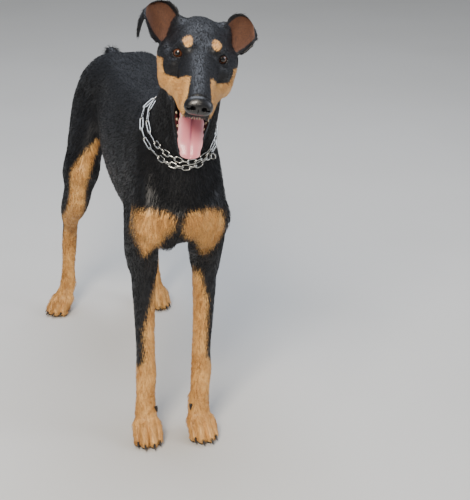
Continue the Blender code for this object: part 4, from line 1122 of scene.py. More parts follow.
@dataclass(frozen=True)
class Head:
    """The head in its own frame, whose origin is midway between the eyes, with the mouth open."""

    # From nose to nape: x, y, z, half width, half height
    skull: tuple[tuple[float, ...], ...] = (
        (0, -0.1310, -0.0350, 0.0225, 0.0225),
        (0, -0.0950, -0.0310, 0.0260, 0.0265),
        (0, -0.0550, -0.0270, 0.0290, 0.0300),
        (0, -0.0200, -0.0210, 0.0335, 0.0330),
        (0, 0.0100, -0.0140, 0.0425, 0.0370),
        (0, 0.0450, -0.0060, 0.0490, 0.0425),
        (0, 0.0800, -0.0040, 0.0490, 0.0415),
        (0, 0.1080, -0.0090, 0.0430, 0.0380),
        (0, 0.1300, -0.0160, 0.0350, 0.0320),
    )
    jaw: tuple[tuple[float, ...], ...] = (
        (0, 0.0450, -0.0660, 0.0440, 0.0240),
        (0, 0.0050, -0.0870, 0.0370, 0.0195),
        (0, -0.0330, -0.1110, 0.0300, 0.0160),
        (0, -0.0600, -0.1295, 0.0235, 0.0138),
        (0, -0.0765, -0.1415, 0.0175, 0.0115),
    )
    mouth_sections: tuple[tuple[float, ...], ...] = (
        (0, 0.0250, -0.0690, 0.0160, 0.0060),
        (0, -0.0080, -0.0760, 0.0220, 0.0100),
        (0, -0.0400, -0.0870, 0.0330, 0.0190),
        (0, -0.0800, -0.0980, 0.0370, 0.0270),
        (0, -0.1250, -0.1100, 0.0420, 0.0350),
    )
    crease_radius: float = 0.0011

    def mouth(self) -> Tube:
        """The open mouth between palate and tongue."""
        return Tube(self.mouth_sections, ends=(0.01, 0.02))

    def palate(self) -> Tube:
        """The hollow of the palate."""
        return Tube([(0, 0.000, -0.0640, 0.0170, 0.0070), (0, -0.110, -0.0540, 0.0125, 0.0080)])

    def form(self) -> Blend:
        """The head's blended form, with the eyes' sockets still shut."""
        head = Blend()
        head.add(Tube(self.skull, ends=(0.010, 0.020)), 0.01)
        for s in (-1, 1):
            flew = [
                (s * 0.0165, -0.124, -0.0490, 0.0080, 0.0130),
                (s * 0.0230, -0.090, -0.0500, 0.0085, 0.0150),
                (s * 0.0285, -0.055, -0.0490, 0.0090, 0.0150),
                (s * 0.0350, -0.020, -0.0520, 0.0100, 0.0140),
                (s * 0.0420, 0.015, -0.0500, 0.0120, 0.0180),
            ]
            head.add(Tube(flew), 0.012)
            arch = [
                (s * 0.042, -0.002, -0.024, 0.011, 0.013),
                (s * 0.053, 0.030, -0.022, 0.011, 0.014),
                (s * 0.057, 0.058, -0.020, 0.011, 0.016),
                (s * 0.050, 0.084, -0.020, 0.012, 0.018),
            ]
            head.add(Tube(arch), 0.018)
            head.add(Ellipsoid((s * 0.026, 0.004, 0.0150), (0.0140, 0.0160, 0.0090)), 0.014)
            head.add(Ellipsoid((s * 0.047, 0.040, -0.048), (0.0170, 0.0360, 0.0300)), 0.022)
            head.add(Ellipsoid((s * 0.040, 0.092, 0.010), (0.0120, 0.0180, 0.0240)), 0.018)
        head.add(Ellipsoid((0, 0.118, 0.008), (0.018, 0.018, 0.014)), 0.02)
        head.add(Ellipsoid((0, 0.070, -0.050), (0.042, 0.055, 0.040)), 0.03)
        head.add(Tube(self.jaw, ends=(0.02, 0.009)), 0.014)
        for s in (-1, 1):
            head.add(Ellipsoid((s * 0.036, -0.002, -0.066), (0.0080, 0.0180, 0.0150)), 0.012)
            head.add(Ellipsoid(mirrored(s, EYE), (EYE_RADIUS + LID_THICKNESS,) * 3), 0.008)
        head.cut(self.mouth(), 0.005)
        head.cut(self.palate(), 0.006)
        for s in (-1, 1):
            lip = [
                (s * 0.0315, -0.006, -0.0800, 0.0045, 0.0045),
                (s * 0.0285, -0.035, -0.1005, 0.0042, 0.0042),
                (s * 0.0215, -0.060, -0.1180, 0.0040, 0.0040),
                (s * 0.0120, -0.079, -0.1325, 0.0040, 0.0040),
            ]
            head.add(Tube(lip), 0.006)
        return head

    def folded(self) -> Blend:
        """The head with the fine folds of its skin: creases below and above each eye."""
        plain = self.form()
        head = self.form()
        for s in (-1, 1):
            sight, across, up = eye_frame(s)
            for radius, start, stop in ((0.0150, 200, 330), (0.0135, 35, 140)):
                turn = np.radians(np.linspace(start, stop, 9))
                arc = mirrored(s, EYE) + radius * (
                    np.outer(np.cos(turn), across) + np.outer(np.sin(turn), up) * 0.85
                )
                arc = onto(plain, arc + sight * 0.008, 0.03, 4)
                size = np.full((len(arc), 2), self.crease_radius)
                head.cut(Tube(np.hstack([arc, size]), side=across + 0.01, step=0.002), 0.003)
        return head


def eye_frame(side: int) -> tuple[Array, Array, Array]:
    """An eye's line of sight, and the directions across and up from it, in the head's frame."""
    sight = unit(mirrored(side, EYE_SIGHT))
    across = unit(np.cross(sight, (0.10 * side, 0, 1)))
    return sight, across, np.cross(across, sight)


def lid_line(count: int) -> Array:
    """The lens between the lids, as two arcs of one radius that meet at the corners.

    The radius is (length^2 + height^2) / 4 / height, so that the arcs stand height apart.

    Args:
        count: points on each arc.

    Returns:
        Points across and up, in order round the lens.
    """
    length, height = LID_OPENING
    radius = (length**2 + height**2) / 4 / height
    swing = math.asin(length / 2 / radius)
    arc = np.linspace(-swing, swing, count)
    upper = np.stack([radius * np.sin(arc), radius * np.cos(arc) - radius + height / 2], 1)
    return np.vstack([upper, -upper[1:-1]])


@dataclass(frozen=True)
class Ear:
    """A raised ear whose tip folds over: a curved sheet between its rear edge, cup and front edge."""

    rows: tuple[tuple[tuple[float, float, float], ...], ...]
    thickness: tuple[float, ...] = (0.0056, 0.0026, 0.0022, 0.0020, 0.0018, 0.0015, 0.0012)
    columns: int = 25
    step: float = 0.0022
    relaxing: int = 12
    flap: float = 0.80
    folded: bool = False

    def shell(self) -> Shell:
        """The ear's closed sheet in the head's frame.

        Each row across is the parabola through its rear, middle and front points, the rows are
        joined by smooth paths, and the folds are relaxed towards their neighbours' mean. The faces
        stand half the thickness off along the sheet's normal, less towards the edges.

        Returns:
            The shell, with the marks inner, 1 on the inside of the cup, and tip, 0 to 1 to the tip.
        """
        rows = np.array(self.rows)
        thickness = np.array(self.thickness)[:, None]
        path = smooth_path(np.hstack([rows[:, 1], rows[:, 0], rows[:, 2], thickness]), self.step)
        middle, rear, front, thick = path[:, :3], path[:, 3:6], path[:, 6:9], path[:, 9]
        across = np.linspace(-1, 1, self.columns)[:, None]
        sheet = (
            rear[:, None] * (across**2 - across) / 2
            + middle[:, None] * (1 - across**2)
            + front[:, None] * (across**2 + across) / 2
        )
        for _ in range(self.relaxing):
            wide = np.pad(sheet, ((1, 1), (1, 1), (0, 0)), "reflect", reflect_type="odd")
            near = wide[:-2, 1:-1] + wide[2:, 1:-1] + wide[1:-1, :-2] + wide[1:-1, 2:]
            sheet = (sheet + near / 4) / 2
        facing = rows_unit(np.cross(np.gradient(sheet, axis=0), np.gradient(sheet, axis=1)))
        for _ in range(24):
            wide = np.pad(facing, ((1, 1), (1, 1), (0, 0)), "edge")
            near = wide[:-2, 1:-1] + wide[2:, 1:-1] + wide[1:-1, :-2] + wide[1:-1, 2:]
            facing = rows_unit(near + 2 * facing)
        half = thick[:, None, None] / 2 * np.sqrt(1 - 0.85 * across**6)
        upper, lower = sheet + facing * half, sheet - facing * half
        loops = np.concatenate([upper, lower[:, ::-1]], 1)
        chord = (rear[:6] + front[:6]) / 2 - middle[:6]
        upper_is_inner = (chord * facing[:6, self.columns // 2]).sum() > 0
        inner = np.zeros(loops.shape[:2])
        inner[:, : self.columns] = 1.0 if upper_is_inner else 0.0
        inner[:, self.columns :] = 0.0 if upper_is_inner else 1.0
        wing = np.concatenate([across[:, 0], across[::-1, 0]])
        inner *= 1 - smooth_step(np.abs(wing), 0.66, 0.90)
        tip = np.repeat(np.linspace(0, 1, len(loops))[:, None], loops.shape[1], 1)
        inner *= 1 - smooth_step(tip, self.flap - 0.06, self.flap + 0.04)
        shell = capped(loops, loops[0].mean(0), loops[-1].mean(0))
        ends = np.zeros(2)
        shell.marks["inner"] = np.r_[inner.ravel(), ends]
        shell.marks["tip"] = np.r_[tip.ravel(), 0.0, 1.0]
        return shell


@dataclass(frozen=True)
class Dog:
    """All the dog's flesh, from its named limbs and head."""

    trunk: Trunk = Trunk()
    head: Head = Head()
    fore_limbs: tuple[ForeLimb, ...] = (
        ForeLimb(-1, (0.0705, 0.0635, 0.0610), (-0.0655, 0.0000), 4.0),
        ForeLimb(1, (0.0620, 0.0640, 0.0540), (0.0450, -0.0040), -5.0),
    )
    hind_limbs: tuple[HindLimb, ...] = (
        HindLimb(-1, (-0.108, 0.500, 0.385), (-0.112, 0.690, 0.165), (-0.132, 0.668), 48.0),
        HindLimb(1, (0.090, 0.495, 0.385), (0.090, 0.690, 0.165), (0.095, 0.662), -10.0),
    )
    fore_size: float = 1.0
    hind_size: float = 0.94

    def feet(self) -> list[Foot]:
        """The four feet."""
        fore = [Foot(limb.paw, limb.turn, self.fore_size, -limb.side) for limb in self.fore_limbs]
        return fore + [Foot(limb.paw, limb.turn, self.hind_size, 0) for limb in self.hind_limbs]

    def form(self, folds: bool) -> Blend:
        """The whole flesh, without ears, eyes, nose, tongue and teeth."""
        dog = self.trunk.form()
        feet = self.feet()
        for limb, foot in zip(self.fore_limbs + self.hind_limbs, feet):
            dog.add(limb.form(), 0.022)
            dog.add(foot.form(), 0.006)
        head = self.head.folded() if folds else self.head.form()
        dog.add(Placed(head, HEAD_ORIGIN, HEAD_TURN), 0.020)
        return dog


RIGHT_EAR = Ear(
    (
        ((-0.030, 0.084, 0.022), (-0.044, 0.082, 0.004), (-0.055, 0.062, -0.026)),
        ((-0.043, 0.096, 0.042), (-0.060, 0.101, 0.011), (-0.070, 0.062, -0.012)),
        ((-0.062, 0.103, 0.053), (-0.076, 0.109, 0.026), (-0.083, 0.066, -0.001)),
        ((-0.083, 0.105, 0.049), (-0.090, 0.106, 0.036), (-0.091, 0.071, 0.013)),
        ((-0.099, 0.100, 0.036), (-0.1000, 0.089, 0.0315), (-0.0975, 0.077, 0.025)),
        ((-0.107, 0.091, 0.015), (-0.1052, 0.085, 0.0135), (-0.1010, 0.079, 0.011)),
        ((-0.1060, 0.0855, -0.0100), (-0.1052, 0.0820, -0.0110), (-0.1035, 0.0785, -0.0100)),
    ),
    flap=0.62,
    folded=True,
)
LEFT_EAR = Ear(
    (
        ((0.030, 0.084, 0.018), (0.046, 0.082, 0.002), (0.057, 0.062, -0.026)),
        ((0.043, 0.096, 0.039), (0.060, 0.101, 0.010), (0.072, 0.061, -0.010)),
        ((0.055, 0.103, 0.050), (0.075, 0.108, 0.024), (0.087, 0.062, 0.003)),
        ((0.069, 0.104, 0.052), (0.083, 0.103, 0.035), (0.0905, 0.0650, 0.0100)),
        ((0.083, 0.098, 0.044), (0.0895, 0.090, 0.0345), (0.0925, 0.0685, 0.0150)),
        ((0.0915, 0.0915, 0.0350), (0.0945, 0.0835, 0.0280), (0.0940, 0.0715, 0.0165)),
        ((0.0965, 0.0860, 0.0240), (0.0968, 0.0810, 0.0205), (0.0955, 0.0750, 0.0155)),
    ),
    columns=17,
    step=0.0034,
    relaxing=40,
    flap=0.84,
)


def stance() -> Array:
    """How far the frame's nodes lie from the dog's own frame: the left eye's place in both."""
    low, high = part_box("eye_left")
    return np.array((low + high) / 2) - from_head(mirrored(1, EYE))


STANCE = stance()


@dataclass(frozen=True)
class Markings:
    """Where the coat is rust, as values in border widths: above zero is rust, below is black."""

    body_border: float = 0.0095
    head_border: float = 0.0022
    # Chest patches seen from the front: x and z of their outlines
    right_chest: tuple[tuple[float, float], ...] = (
        (-0.096, 0.503),
        (-0.086, 0.513),
        (-0.070, 0.517),
        (-0.048, 0.515),
        (-0.026, 0.508),
        (-0.029, 0.491),
        (-0.043, 0.469),
        (-0.054, 0.442),
        (-0.075, 0.417),
        (-0.090, 0.446),
        (-0.098, 0.480),
    )
    left_chest: tuple[tuple[float, float], ...] = (
        (0.000, 0.517),
        (0.034, 0.517),
        (0.068, 0.507),
        (0.074, 0.478),
        (0.068, 0.450),
        (0.057, 0.424),
        (0.045, 0.402),
        (0.020, 0.450),
        (-0.008, 0.474),
        (-0.013, 0.487),
        (-0.010, 0.505),
    )
    chest_depth: float = 0.010
    # How far down the black reaches on a foreleg, and how far up its rust stripe
    fore_black_end: float = 0.168
    fore_stripe_top: tuple[float, float] = (0.330, 0.350)
    fore_stripe_edge: tuple[float, float] = (0.0675, 0.0605)
    # Where the stripe starts to narrow towards its top, and how much in each metre
    fore_stripe_start: tuple[float, float] = (0.240, 0.290)
    fore_stripe_taper: float = 0.24

    def rust(self, points: Array) -> Array:
        """The rust value of each point in the dog's frame."""
        head = self.on_head(to_head(points)) / self.head_border
        beyond = (points - POLL_POINT) @ POLL_FACING > -0.004
        body = np.maximum.reduce([self.on_chest(points), self.on_forelegs(points), self.on_hind(points)])
        return np.clip(np.where(beyond, head, body / self.body_border), -6, 6)

    def on_head(self, points: Array) -> Array:
        """Brow spots, and the muzzle's sides with a strip up each cheek, in the head's frame."""
        x, y, z = np.abs(points[:, 0]), points[:, 1], points[:, 2]
        folded = np.stack([x, y, z], 1)
        spot = -Ellipsoid((0.0242, 0.0030, 0.0220), (0.0080, 0.0165, 0.0120)).distance(folded)
        rise = np.interp(
            y,
            (-0.130, -0.0835, -0.0245, -0.002, 0.012, 0.060),
            (0.010, -0.007, -0.036, -0.038, -0.018, -0.030),
        )
        bridge = np.interp(y, (-0.150, -0.125, -0.080, -0.020), (0.0215, 0.0190, 0.0160, 0.0200))
        muzzle = np.minimum.reduce([rise - z, x - bridge, 0.052 - y + (z + 0.06) * 0.3])
        cheek = np.minimum.reduce([x - 0.0535, rise - z, 0.052 - y])
        lip_line = np.interp(y, (-0.130, -0.080, -0.030, 0.010), (-0.062, -0.066, -0.066, -0.070))
        muzzle = np.where(y < 0.002, muzzle, np.maximum(np.minimum(muzzle, -0.046 - z), cheek))
        return np.maximum(spot, np.minimum(muzzle, z - lip_line))

    def on_chest(self, points: Array) -> Array:
        """The two patches above the forelegs, on the front of the chest only."""
        seen = points[:, [0, 2]]
        patch = np.maximum(outline_depth(seen, self.right_chest), outline_depth(seen, self.left_chest))
        return np.minimum(patch, self.chest_depth - points[:, 1])

    def on_forelegs(self, points: Array) -> Array:
        """All of the leg below the black, and a stripe on its inner and front side above."""
        x, y, z = points.T
        right = x < -0.005
        edge = np.where(right, *self.fore_stripe_edge)
        top = np.where(right, *self.fore_stripe_top)
        start = np.where(right, *self.fore_stripe_start)
        edge = edge - np.maximum(z - start, 0) * self.fore_stripe_taper
        stripe = np.minimum(edge - np.abs(x), (top - z) * 0.5 - np.maximum(y - 0.045, 0) * 0.4)
        black_end = self.fore_black_end - z - (np.abs(x) - edge) * 1.2
        return np.where(y < 0.20, np.maximum(stripe, black_end), -1.0)

    def on_hind(self, points: Array) -> Array:
        """A stripe down the front of the thigh, all of the hock and paw, and a patch below the tail."""
        made = np.full(len(points), -1.0)
        for limb in Dog().hind_limbs:
            stifle, hock, s = np.array(limb.stifle), np.array(limb.hock), limb.side
            stripe = [
                (*(stifle + (-s * 0.034, -0.016, 0.096)), 0.008, 0.008),
                (*(stifle + (-s * 0.012, -0.022, 0.070)), 0.013, 0.013),
                (*(stifle + (s * 0.010, -0.026, 0.032)), 0.019, 0.019),
                (*(stifle + (s * 0.016, -0.014, -0.012)), 0.019, 0.019),
                (*(stifle + (s * 0.016, 0.010, -0.060)), 0.020, 0.020),
                (*(between(stifle, hock, 0.62) + (s * 0.010, -0.010, 0.0)), 0.024, 0.024),
                (*(between(stifle, hock, 0.90) + (0, -0.006, 0.0)), 0.030, 0.030),
            ]
            own = np.sign(points[:, 0]) == s
            value = -Tube(stripe).distance(points)
            value = np.maximum(value, 0.185 - points[:, 2])
            made = np.where(own & (points[:, 1] > 0.40), np.maximum(made, value), made)
        vent = Ellipsoid((0, 0.655, 0.580), (0.022, 0.030, 0.034))
        return np.maximum(made, -vent.distance(points))


def outline_depth(points: Array, outline: Sequence[Sequence[float]]) -> Array:
    """How deep each flat point lies inside a closed outline, negative outside.

    The depth is the least distance to the outline's edges. A point is inside where a ray from it
    crosses an odd number of them.

    Args:
        points: flat places.
        outline: the corners in order.

    Returns:
        The depth of each point.
    """
    corners = np.asarray(outline)
    least = np.full(len(points), np.inf)
    inside = np.zeros(len(points), bool)
    for a, b in zip(corners, np.roll(corners, -1, 0)):
        edge = b - a
        share = np.clip(((points - a) @ edge) / (edge @ edge), 0, 1)
        least = np.minimum(least, np.linalg.norm(points - a - share[:, None] * edge, axis=1))
        crossed = (a[1] > points[:, 1]) != (b[1] > points[:, 1])
        rise = np.where(edge[1] == 0, 1e-12, edge[1])
        inside ^= crossed & (points[:, 0] < a[0] + edge[0] * (points[:, 1] - a[1]) / rise)
    return np.where(inside, least, -least)


class Lie:
    """Which way the hair lies: directions at chosen places, mixed by distance."""

    # On the head, in its own frame, for the left side: place and direction
    head = (
        ((0.000, -0.125, -0.015), (0.00, 1.0, 0.10)),
        ((0.000, -0.060, 0.002), (0.00, 1.0, 0.20)),
        ((0.000, 0.000, 0.024), (0.00, 1.0, 0.30)),
        ((0.000, 0.070, 0.038), (0.00, 1.0, -0.10)),
        ((0.028, -0.090, -0.040), (0.10, 1.0, -0.45)),
        ((0.035, -0.030, -0.045), (0.10, 1.0, -0.40)),
        ((0.038, 0.000, 0.020), (0.25, 1.0, 0.10)),
        ((0.055, 0.030, -0.030), (0.10, 1.0, -0.40)),
        ((0.050, 0.080, -0.020), (0.10, 1.0, -0.60)),
        ((0.025, -0.050, -0.130), (0.05, 1.0, 0.25)),
        ((0.035, 0.020, -0.090), (0.05, 1.0, 0.00)),
    )
    # On the body, for the left side
    body = (
        ((0.000, -0.020, 0.770), (0.00, 0.75, -0.65)),
        ((0.050, -0.090, 0.770), (0.05, 0.55, -0.80)),
        ((0.000, -0.130, 0.720), (0.00, 0.30, -1.00)),
        ((0.055, -0.030, 0.690), (0.05, 0.40, -0.90)),
        ((0.000, -0.070, 0.600), (0.00, 0.05, -1.00)),
        ((0.040, -0.060, 0.520), (0.10, 0.10, -1.00)),
        ((0.000, -0.050, 0.460), (0.00, 0.20, -1.00)),
        ((0.000, 0.050, 0.395), (0.00, 1.00, -0.20)),
        ((0.070, 0.060, 0.600), (0.05, 0.55, -0.80)),
        ((0.100, 0.030, 0.480), (0.00, 0.30, -0.95)),
        ((0.000, 0.120, 0.680), (0.00, 1.00, -0.05)),
        ((0.000, 0.320, 0.662), (0.00, 1.00, 0.00)),
        ((0.000, 0.520, 0.665), (0.00, 1.00, -0.10)),
        ((0.095, 0.180, 0.560), (0.00, 0.80, -0.60)),
        ((0.095, 0.300, 0.500), (0.00, 0.88, -0.48)),
        ((0.000, 0.300, 0.400), (0.00, 1.00, 0.00)),
        ((0.070, 0.430, 0.500), (0.00, 0.80, -0.60)),
        ((0.000, 0.630, 0.600), (0.00, 0.50, -0.80)),
        ((0.090, 0.520, 0.560), (0.05, 0.60, -0.80)),
        ((0.110, 0.500, 0.430), (0.00, 0.25, -0.95)),
        ((0.070, 0.640, 0.500), (0.00, 0.15, -1.00)),
        ((0.110, 0.570, 0.300), (0.00, 0.40, -0.90)),
        ((0.105, 0.700, 0.160), (0.00, 0.00, -1.00)),
        ((0.110, 0.680, 0.090), (0.00, -0.10, -1.00)),
        ((0.110, 0.640, 0.030), (0.00, -0.80, -0.60)),
        ((0.065, 0.050, 0.350), (0.00, 0.15, -1.00)),
        ((0.060, 0.030, 0.240), (0.00, 0.05, -1.00)),
        ((0.058, 0.030, 0.140), (0.00, -0.05, -1.00)),
        ((0.056, -0.010, 0.060), (0.00, -0.60, -0.80)),
        ((0.056, -0.030, 0.020), (0.00, -0.80, -0.60)),
    )

    def __init__(self) -> None:
        places, ways = [], []
        for side in (-1, 1):
            for place, way in self.head:
                places.append(from_head(mirrored(side, place)))
                ways.append(HEAD_TURN @ mirrored(side, way))
            for place, way in self.body:
                places.append(mirrored(side, place))
                ways.append(mirrored(side, way))
            rows = np.array((RIGHT_EAR if side < 0 else LEFT_EAR).rows)
            for edge in range(3):
                places.extend(from_head(rows[1:, edge]))
                ways.extend(np.diff(rows[:, edge], axis=0) @ HEAD_TURN.T)
        self.places, self.ways = np.array(places), rows_unit(np.array(ways))

    def direction(self, points: Array, normals: Array) -> Array:
        """The lie at each point: ways weighted by one over distance to the fourth, laid flat."""
        gap = ((points[:, None] - self.places) ** 2).sum(2)
        way = (1 / (gap + 1e-6) ** 2) @ self.ways
        way -= (way * normals).sum(1)[:, None] * normals
        return rows_unit(way)

    def directions(self, points: Array, normals: Array, size: int = 20000) -> Array:
        """The lie at many points, worked out a batch at a time."""
        starts = range(0, len(points), size)
        return np.concatenate([self.direction(points[i : i + size], normals[i : i + size]) for i in starts])

    def weights(self, points: Array, normals: Array) -> Array:
        """How near the lie is to Z, Y+Z and Y-Z, as shares that leave the rest to Y."""
        way = self.directions(points, normals)
        slant = math.sqrt(0.5)
        ways = np.array([(0, 1, 0), (0, 0, 1), (0, slant, slant), (0, slant, -slant)])
        share = (way @ ways.T) ** 8 + 1e-4
        return (share / share.sum(1)[:, None])[:, 1:]


def into_bmesh(build: bmesh.types.BMesh, points: Array, faces: Array) -> None:
    """Put points and faces into a bmesh, next to what is there."""
    mesh = bpy.data.meshes.new("scratch")
    mesh.from_pydata(points.tolist(), [], faces.tolist())
    build.from_mesh(mesh)
    bpy.data.meshes.remove(mesh)


def as_arrays(build: bmesh.types.BMesh) -> tuple[Array, Array]:
    """A bmesh's points and triangles."""
    bmesh.ops.triangulate(build, faces=build.faces)
    mesh = bpy.data.meshes.new("scratch")
    build.to_mesh(mesh)
    points = np.empty(len(mesh.vertices) * 3)
    mesh.vertices.foreach_get("co", points)
    corners = np.empty(len(mesh.loops), int)
    mesh.loops.foreach_get("vertex_index", corners)
    bpy.data.meshes.remove(mesh)
    return points.reshape(-1, 3), corners.reshape(-1, 3)


def cut_away(build: bmesh.types.BMesh, point: Array, facing: Array) -> None:
    """Remove what lies beyond a plane, and leave the rim open."""
    parts = build.verts[:] + build.edges[:] + build.faces[:]
    bmesh.ops.bisect_plane(
        build, geom=parts, plane_co=Vector(point), plane_no=Vector(facing), dist=1e-7, clear_outer=True
    )


def boolean(
    points: Array, faces: Array, other: Shell, operation: str, folded: bool = False
) -> tuple[Array, Array]:
    """Join another closed shell onto a closed mesh, or cut it away.

    Args:
        points: the mesh's points.
        faces: its faces.
        other: the other shell.
        operation: UNION or DIFFERENCE.
        folded: whether the other shell folds over so far that its faces may cross.

    Returns:
        The result's points and triangles.
    """
    objects = []
    for place, corners in ((points, faces), (other.points, other.triangles)):
        mesh = bpy.data.meshes.new("scratch")
        mesh.from_pydata(np.asarray(place).tolist(), [], np.asarray(corners).tolist())
        made = bpy.data.objects.new("scratch", mesh)
        bpy.context.scene.collection.objects.link(made)
        objects.append(made)
    change = objects[0].modifiers.new("change", "BOOLEAN")
    change.operation = operation
    change.solver = "EXACT"
    change.use_self = folded
    change.object = objects[1]
    bpy.context.view_layer.update()
    shown = bpy.data.meshes.new_from_object(
        objects[0].evaluated_get(bpy.context.evaluated_depsgraph_get())
    )
    build = bmesh.new()
    build.from_mesh(shown)
    result = as_arrays(build)
    build.free()
    bpy.data.meshes.remove(shown)
    for made in objects:
        mesh = made.data
        bpy.data.objects.remove(made)
        bpy.data.meshes.remove(mesh)
    return result


@dataclass
class Skin:
    """One closed skin over trunk, head, ears, legs and paws, a coat's depth inside the solids."""

    dog: Dog
    body_cell: float = 0.0052
    head_cell: float = 0.0020
    paw_cell: float = 0.0022
    coat_depth: float = 0.0012
    face_depth: float = 0.0006
    body_box: tuple[tuple[float, float, float], ...] = ((-0.16, -0.215, 0.070), (0.16, 0.74, 0.89))
    head_box: tuple[tuple[float, float, float], ...] = ((-0.165, -0.445, 0.690), (0.090, -0.080, 0.925))
    seam_gap: float = 0.0008

    def depth(self, points: Array) -> Array:
        """The coat's depth: full on the body, half on the face, and none at the pads."""
        face = smooth_step((points - POLL_POINT) @ POLL_FACING, -0.03, 0.03)
        foot = smooth_step(points[:, 2], 0.010, 0.110)
        return (self.coat_depth * (1 - face) + self.face_depth * face) * foot

    def net(
        self, form: Form, low: Sequence[float], high: Sequence[float], cell: float
    ) -> tuple[Array, Array]:
        """Points and quads of the form's surface inside a box."""
        low, high = np.asarray(low) - 3 * cell, np.asarray(high) + 3 * cell
        points, quads = surface_net(opened(sampled(form, low, high, cell), cell / 20), low, cell)
        return onto(form, points, cell), quads

    def head_mesh(self, form: Form) -> tuple[Array, Array, Array]:
        """The head with its ears and eye openings, finer round the eyes.

        Args:
            form: the shaved flesh.

        Returns:
            Points, triangles, and the ears' inner value of each point.
        """
        points, quads = self.net(form, *self.head_box, self.head_cell)
        build = bmesh.new()
        into_bmesh(build, points, quads)
        eyes = [from_head(mirrored(side, EYE)) for side in (-1, 1)]
        for reach in (0.020, 0.016):
            close = [
                edge
                for edge in build.edges
                if min((edge.verts[0].co - Vector(eye)).length for eye in eyes) < reach
            ]
            bmesh.ops.subdivide_edges(build, edges=close, cuts=1, use_grid_fill=True)
        points, faces = as_arrays(build)
        build.free()
        points = onto(form, points, self.head_cell, 3)
        kinds = (RIGHT_EAR, LEFT_EAR)
        ears = [kind.shell().moved(HEAD_ORIGIN, HEAD_TURN) for kind in kinds]
        before = len(points)
        for kind, ear in zip(kinds, ears):
            points, faces = boolean(points, faces, ear, "UNION", kind.folded)
        for side in (-1, 1):
            points, faces = boolean(points, faces, self.eye_way(side), "DIFFERENCE")
        log.info("head: %d points before the ears, %d after", before, len(points))
        ear = joined(ears)
        points = self.eased(points, faces, ear)
        return points, faces, self.inner_value(points, ear)

    def eased(self, points: Array, faces: Array, ear: Shell) -> Array:
        """Smooth the crease where the ears meet the head: each point there takes its neighbours' mean."""
        away = np.abs(in_batches(self.flesh, points) + self.depth(points))
        local = to_head(points)
        root = (np.abs(local[:, 0]) > 0.022) & (local[:, 1] > 0.045) & (local[:, 2] > -0.045)
        near_ear = nearest(ear.points, points)[0] < 0.004
        band = root & (away < 0.006) & near_ear
        share = np.where(band, 0.5, 0.0)[:, None]
        edges = np.concatenate([faces[:, [0, 1]], faces[:, [1, 2]], faces[:, [2, 0]]])
        for _ in range(10):
            total, count = np.zeros_like(points), np.zeros(len(points))
            for a, b in ((0, 1), (1, 0)):
                for k in range(3):
                    total[:, k] += np.bincount(edges[:, a], points[edges[:, b], k], len(points))
                count += np.bincount(edges[:, a], minlength=len(points))
            mean = total / np.maximum(count, 1)[:, None]
            points = points * (1 - share) + mean * share
        return points

    def inner_value(self, points: Array, ear: Shell) -> Array:
        """The ear's inner value at each point, taken from the nearest point of the ear's sheet."""
        gap, index = nearest(ear.points, points)
        return np.where(gap < 0.0025, ear.marks["inner"][index], 0.0) * 2.4 - 1.2

    def eye_way(self, side: int) -> Shell:
        """The way between the lids, as a lens-shaped prism along the line of sight."""
        sight, across, up = eye_frame(side)
        flat = lid_line(13)
        rim = mirrored(side, EYE) + np.outer(flat[:, 0], across) + np.outer(flat[:, 1], up)
        rings = np.stack([rim + sight * depth for depth in (0.002, 0.030)])
        middle = mirrored(side, EYE)
        shell = capped(rings, middle + sight * 0.002, middle + sight * 0.030)
        return shell.moved(HEAD_ORIGIN, HEAD_TURN)

    def build(self) -> Shell:
        """The whole skin, its regions meshed at their own fineness and bridged into one.

        Returns:
            The skin's shell in the dog's frame, with all its marks.
        """
        self.flesh = self.dog.form(folds=True)
        form = Shaved(self.flesh, self.depth)
        gap = self.seam_gap / 2
        build = bmesh.new()
        into_bmesh(build, *self.net(form, *self.body_box, self.body_cell))
        cut_away(build, POLL_POINT - gap * POLL_FACING, POLL_FACING)
        cut_away(build, np.array((0, 0, PAW_TOP + gap)), np.array((0, 0, -1.0)))
        log.info("body: %d faces", len(build.faces))
        points, faces, inner = self.head_mesh(form)
        ear_points, ear_inner = points[inner > -1.2], inner[inner > -1.2]
        part = bmesh.new()
        into_bmesh(part, points, faces)
        cut_away(part, POLL_POINT + gap * POLL_FACING, -POLL_FACING)
        self.append(build, part)
        for foot in self.dog.feet():
            reach = np.array((0.060, 0.075)) * foot.size
            low, high = (*(foot.origin - reach), -0.006), (*(foot.origin + reach), PAW_TOP + 0.010)
            part = bmesh.new()
            into_bmesh(part, *self.net(form, low, high, self.paw_cell))
            cut_away(part, np.array((0, 0, PAW_TOP - gap)), np.array((0, 0, 1.0)))
            self.append(build, part)
        self.bridge(build)
        points, triangles = as_arrays(build)
        build.free()
        points[:, 2] = np.maximum(points[:, 2], 0.0)
        skin = Shell(points, triangles).facing_out()
        self.mark(skin, ear_points, ear_inner)
        return skin

    def append(self, build: bmesh.types.BMesh, part: bmesh.types.BMesh) -> None:
        """Put a part's faces next to what is there, and free it."""
        mesh = bpy.data.meshes.new("scratch")
        part.to_mesh(mesh)
        part.free()
        build.from_mesh(mesh)
        bpy.data.meshes.remove(mesh)

    def bridge(self, build: bmesh.types.BMesh) -> None:
        """Join the open rims at the poll and at each paw's top."""
        rims = [edge for edge in build.edges if edge.is_boundary]
        centres = np.array([(edge.verts[0].co + edge.verts[1].co) / 2 for edge in rims])
        groups = [np.abs((centres - POLL_POINT) @ POLL_FACING) < 0.004]
        groups[0] &= centres[:, 2] > 0.5
        for foot in self.dog.feet():
            close = np.linalg.norm(centres[:, :2] - foot.origin, axis=1) < 0.07
            groups.append(close & (np.abs(centres[:, 2] - PAW_TOP) < 0.003))
        for group in groups:
            edges = [rims[i] for i in np.flatnonzero(group)]
            made = bmesh.ops.bridge_loops(build, edges=edges)
            log.info("bridge over %d edges: %d faces", len(edges), len(made["faces"]))

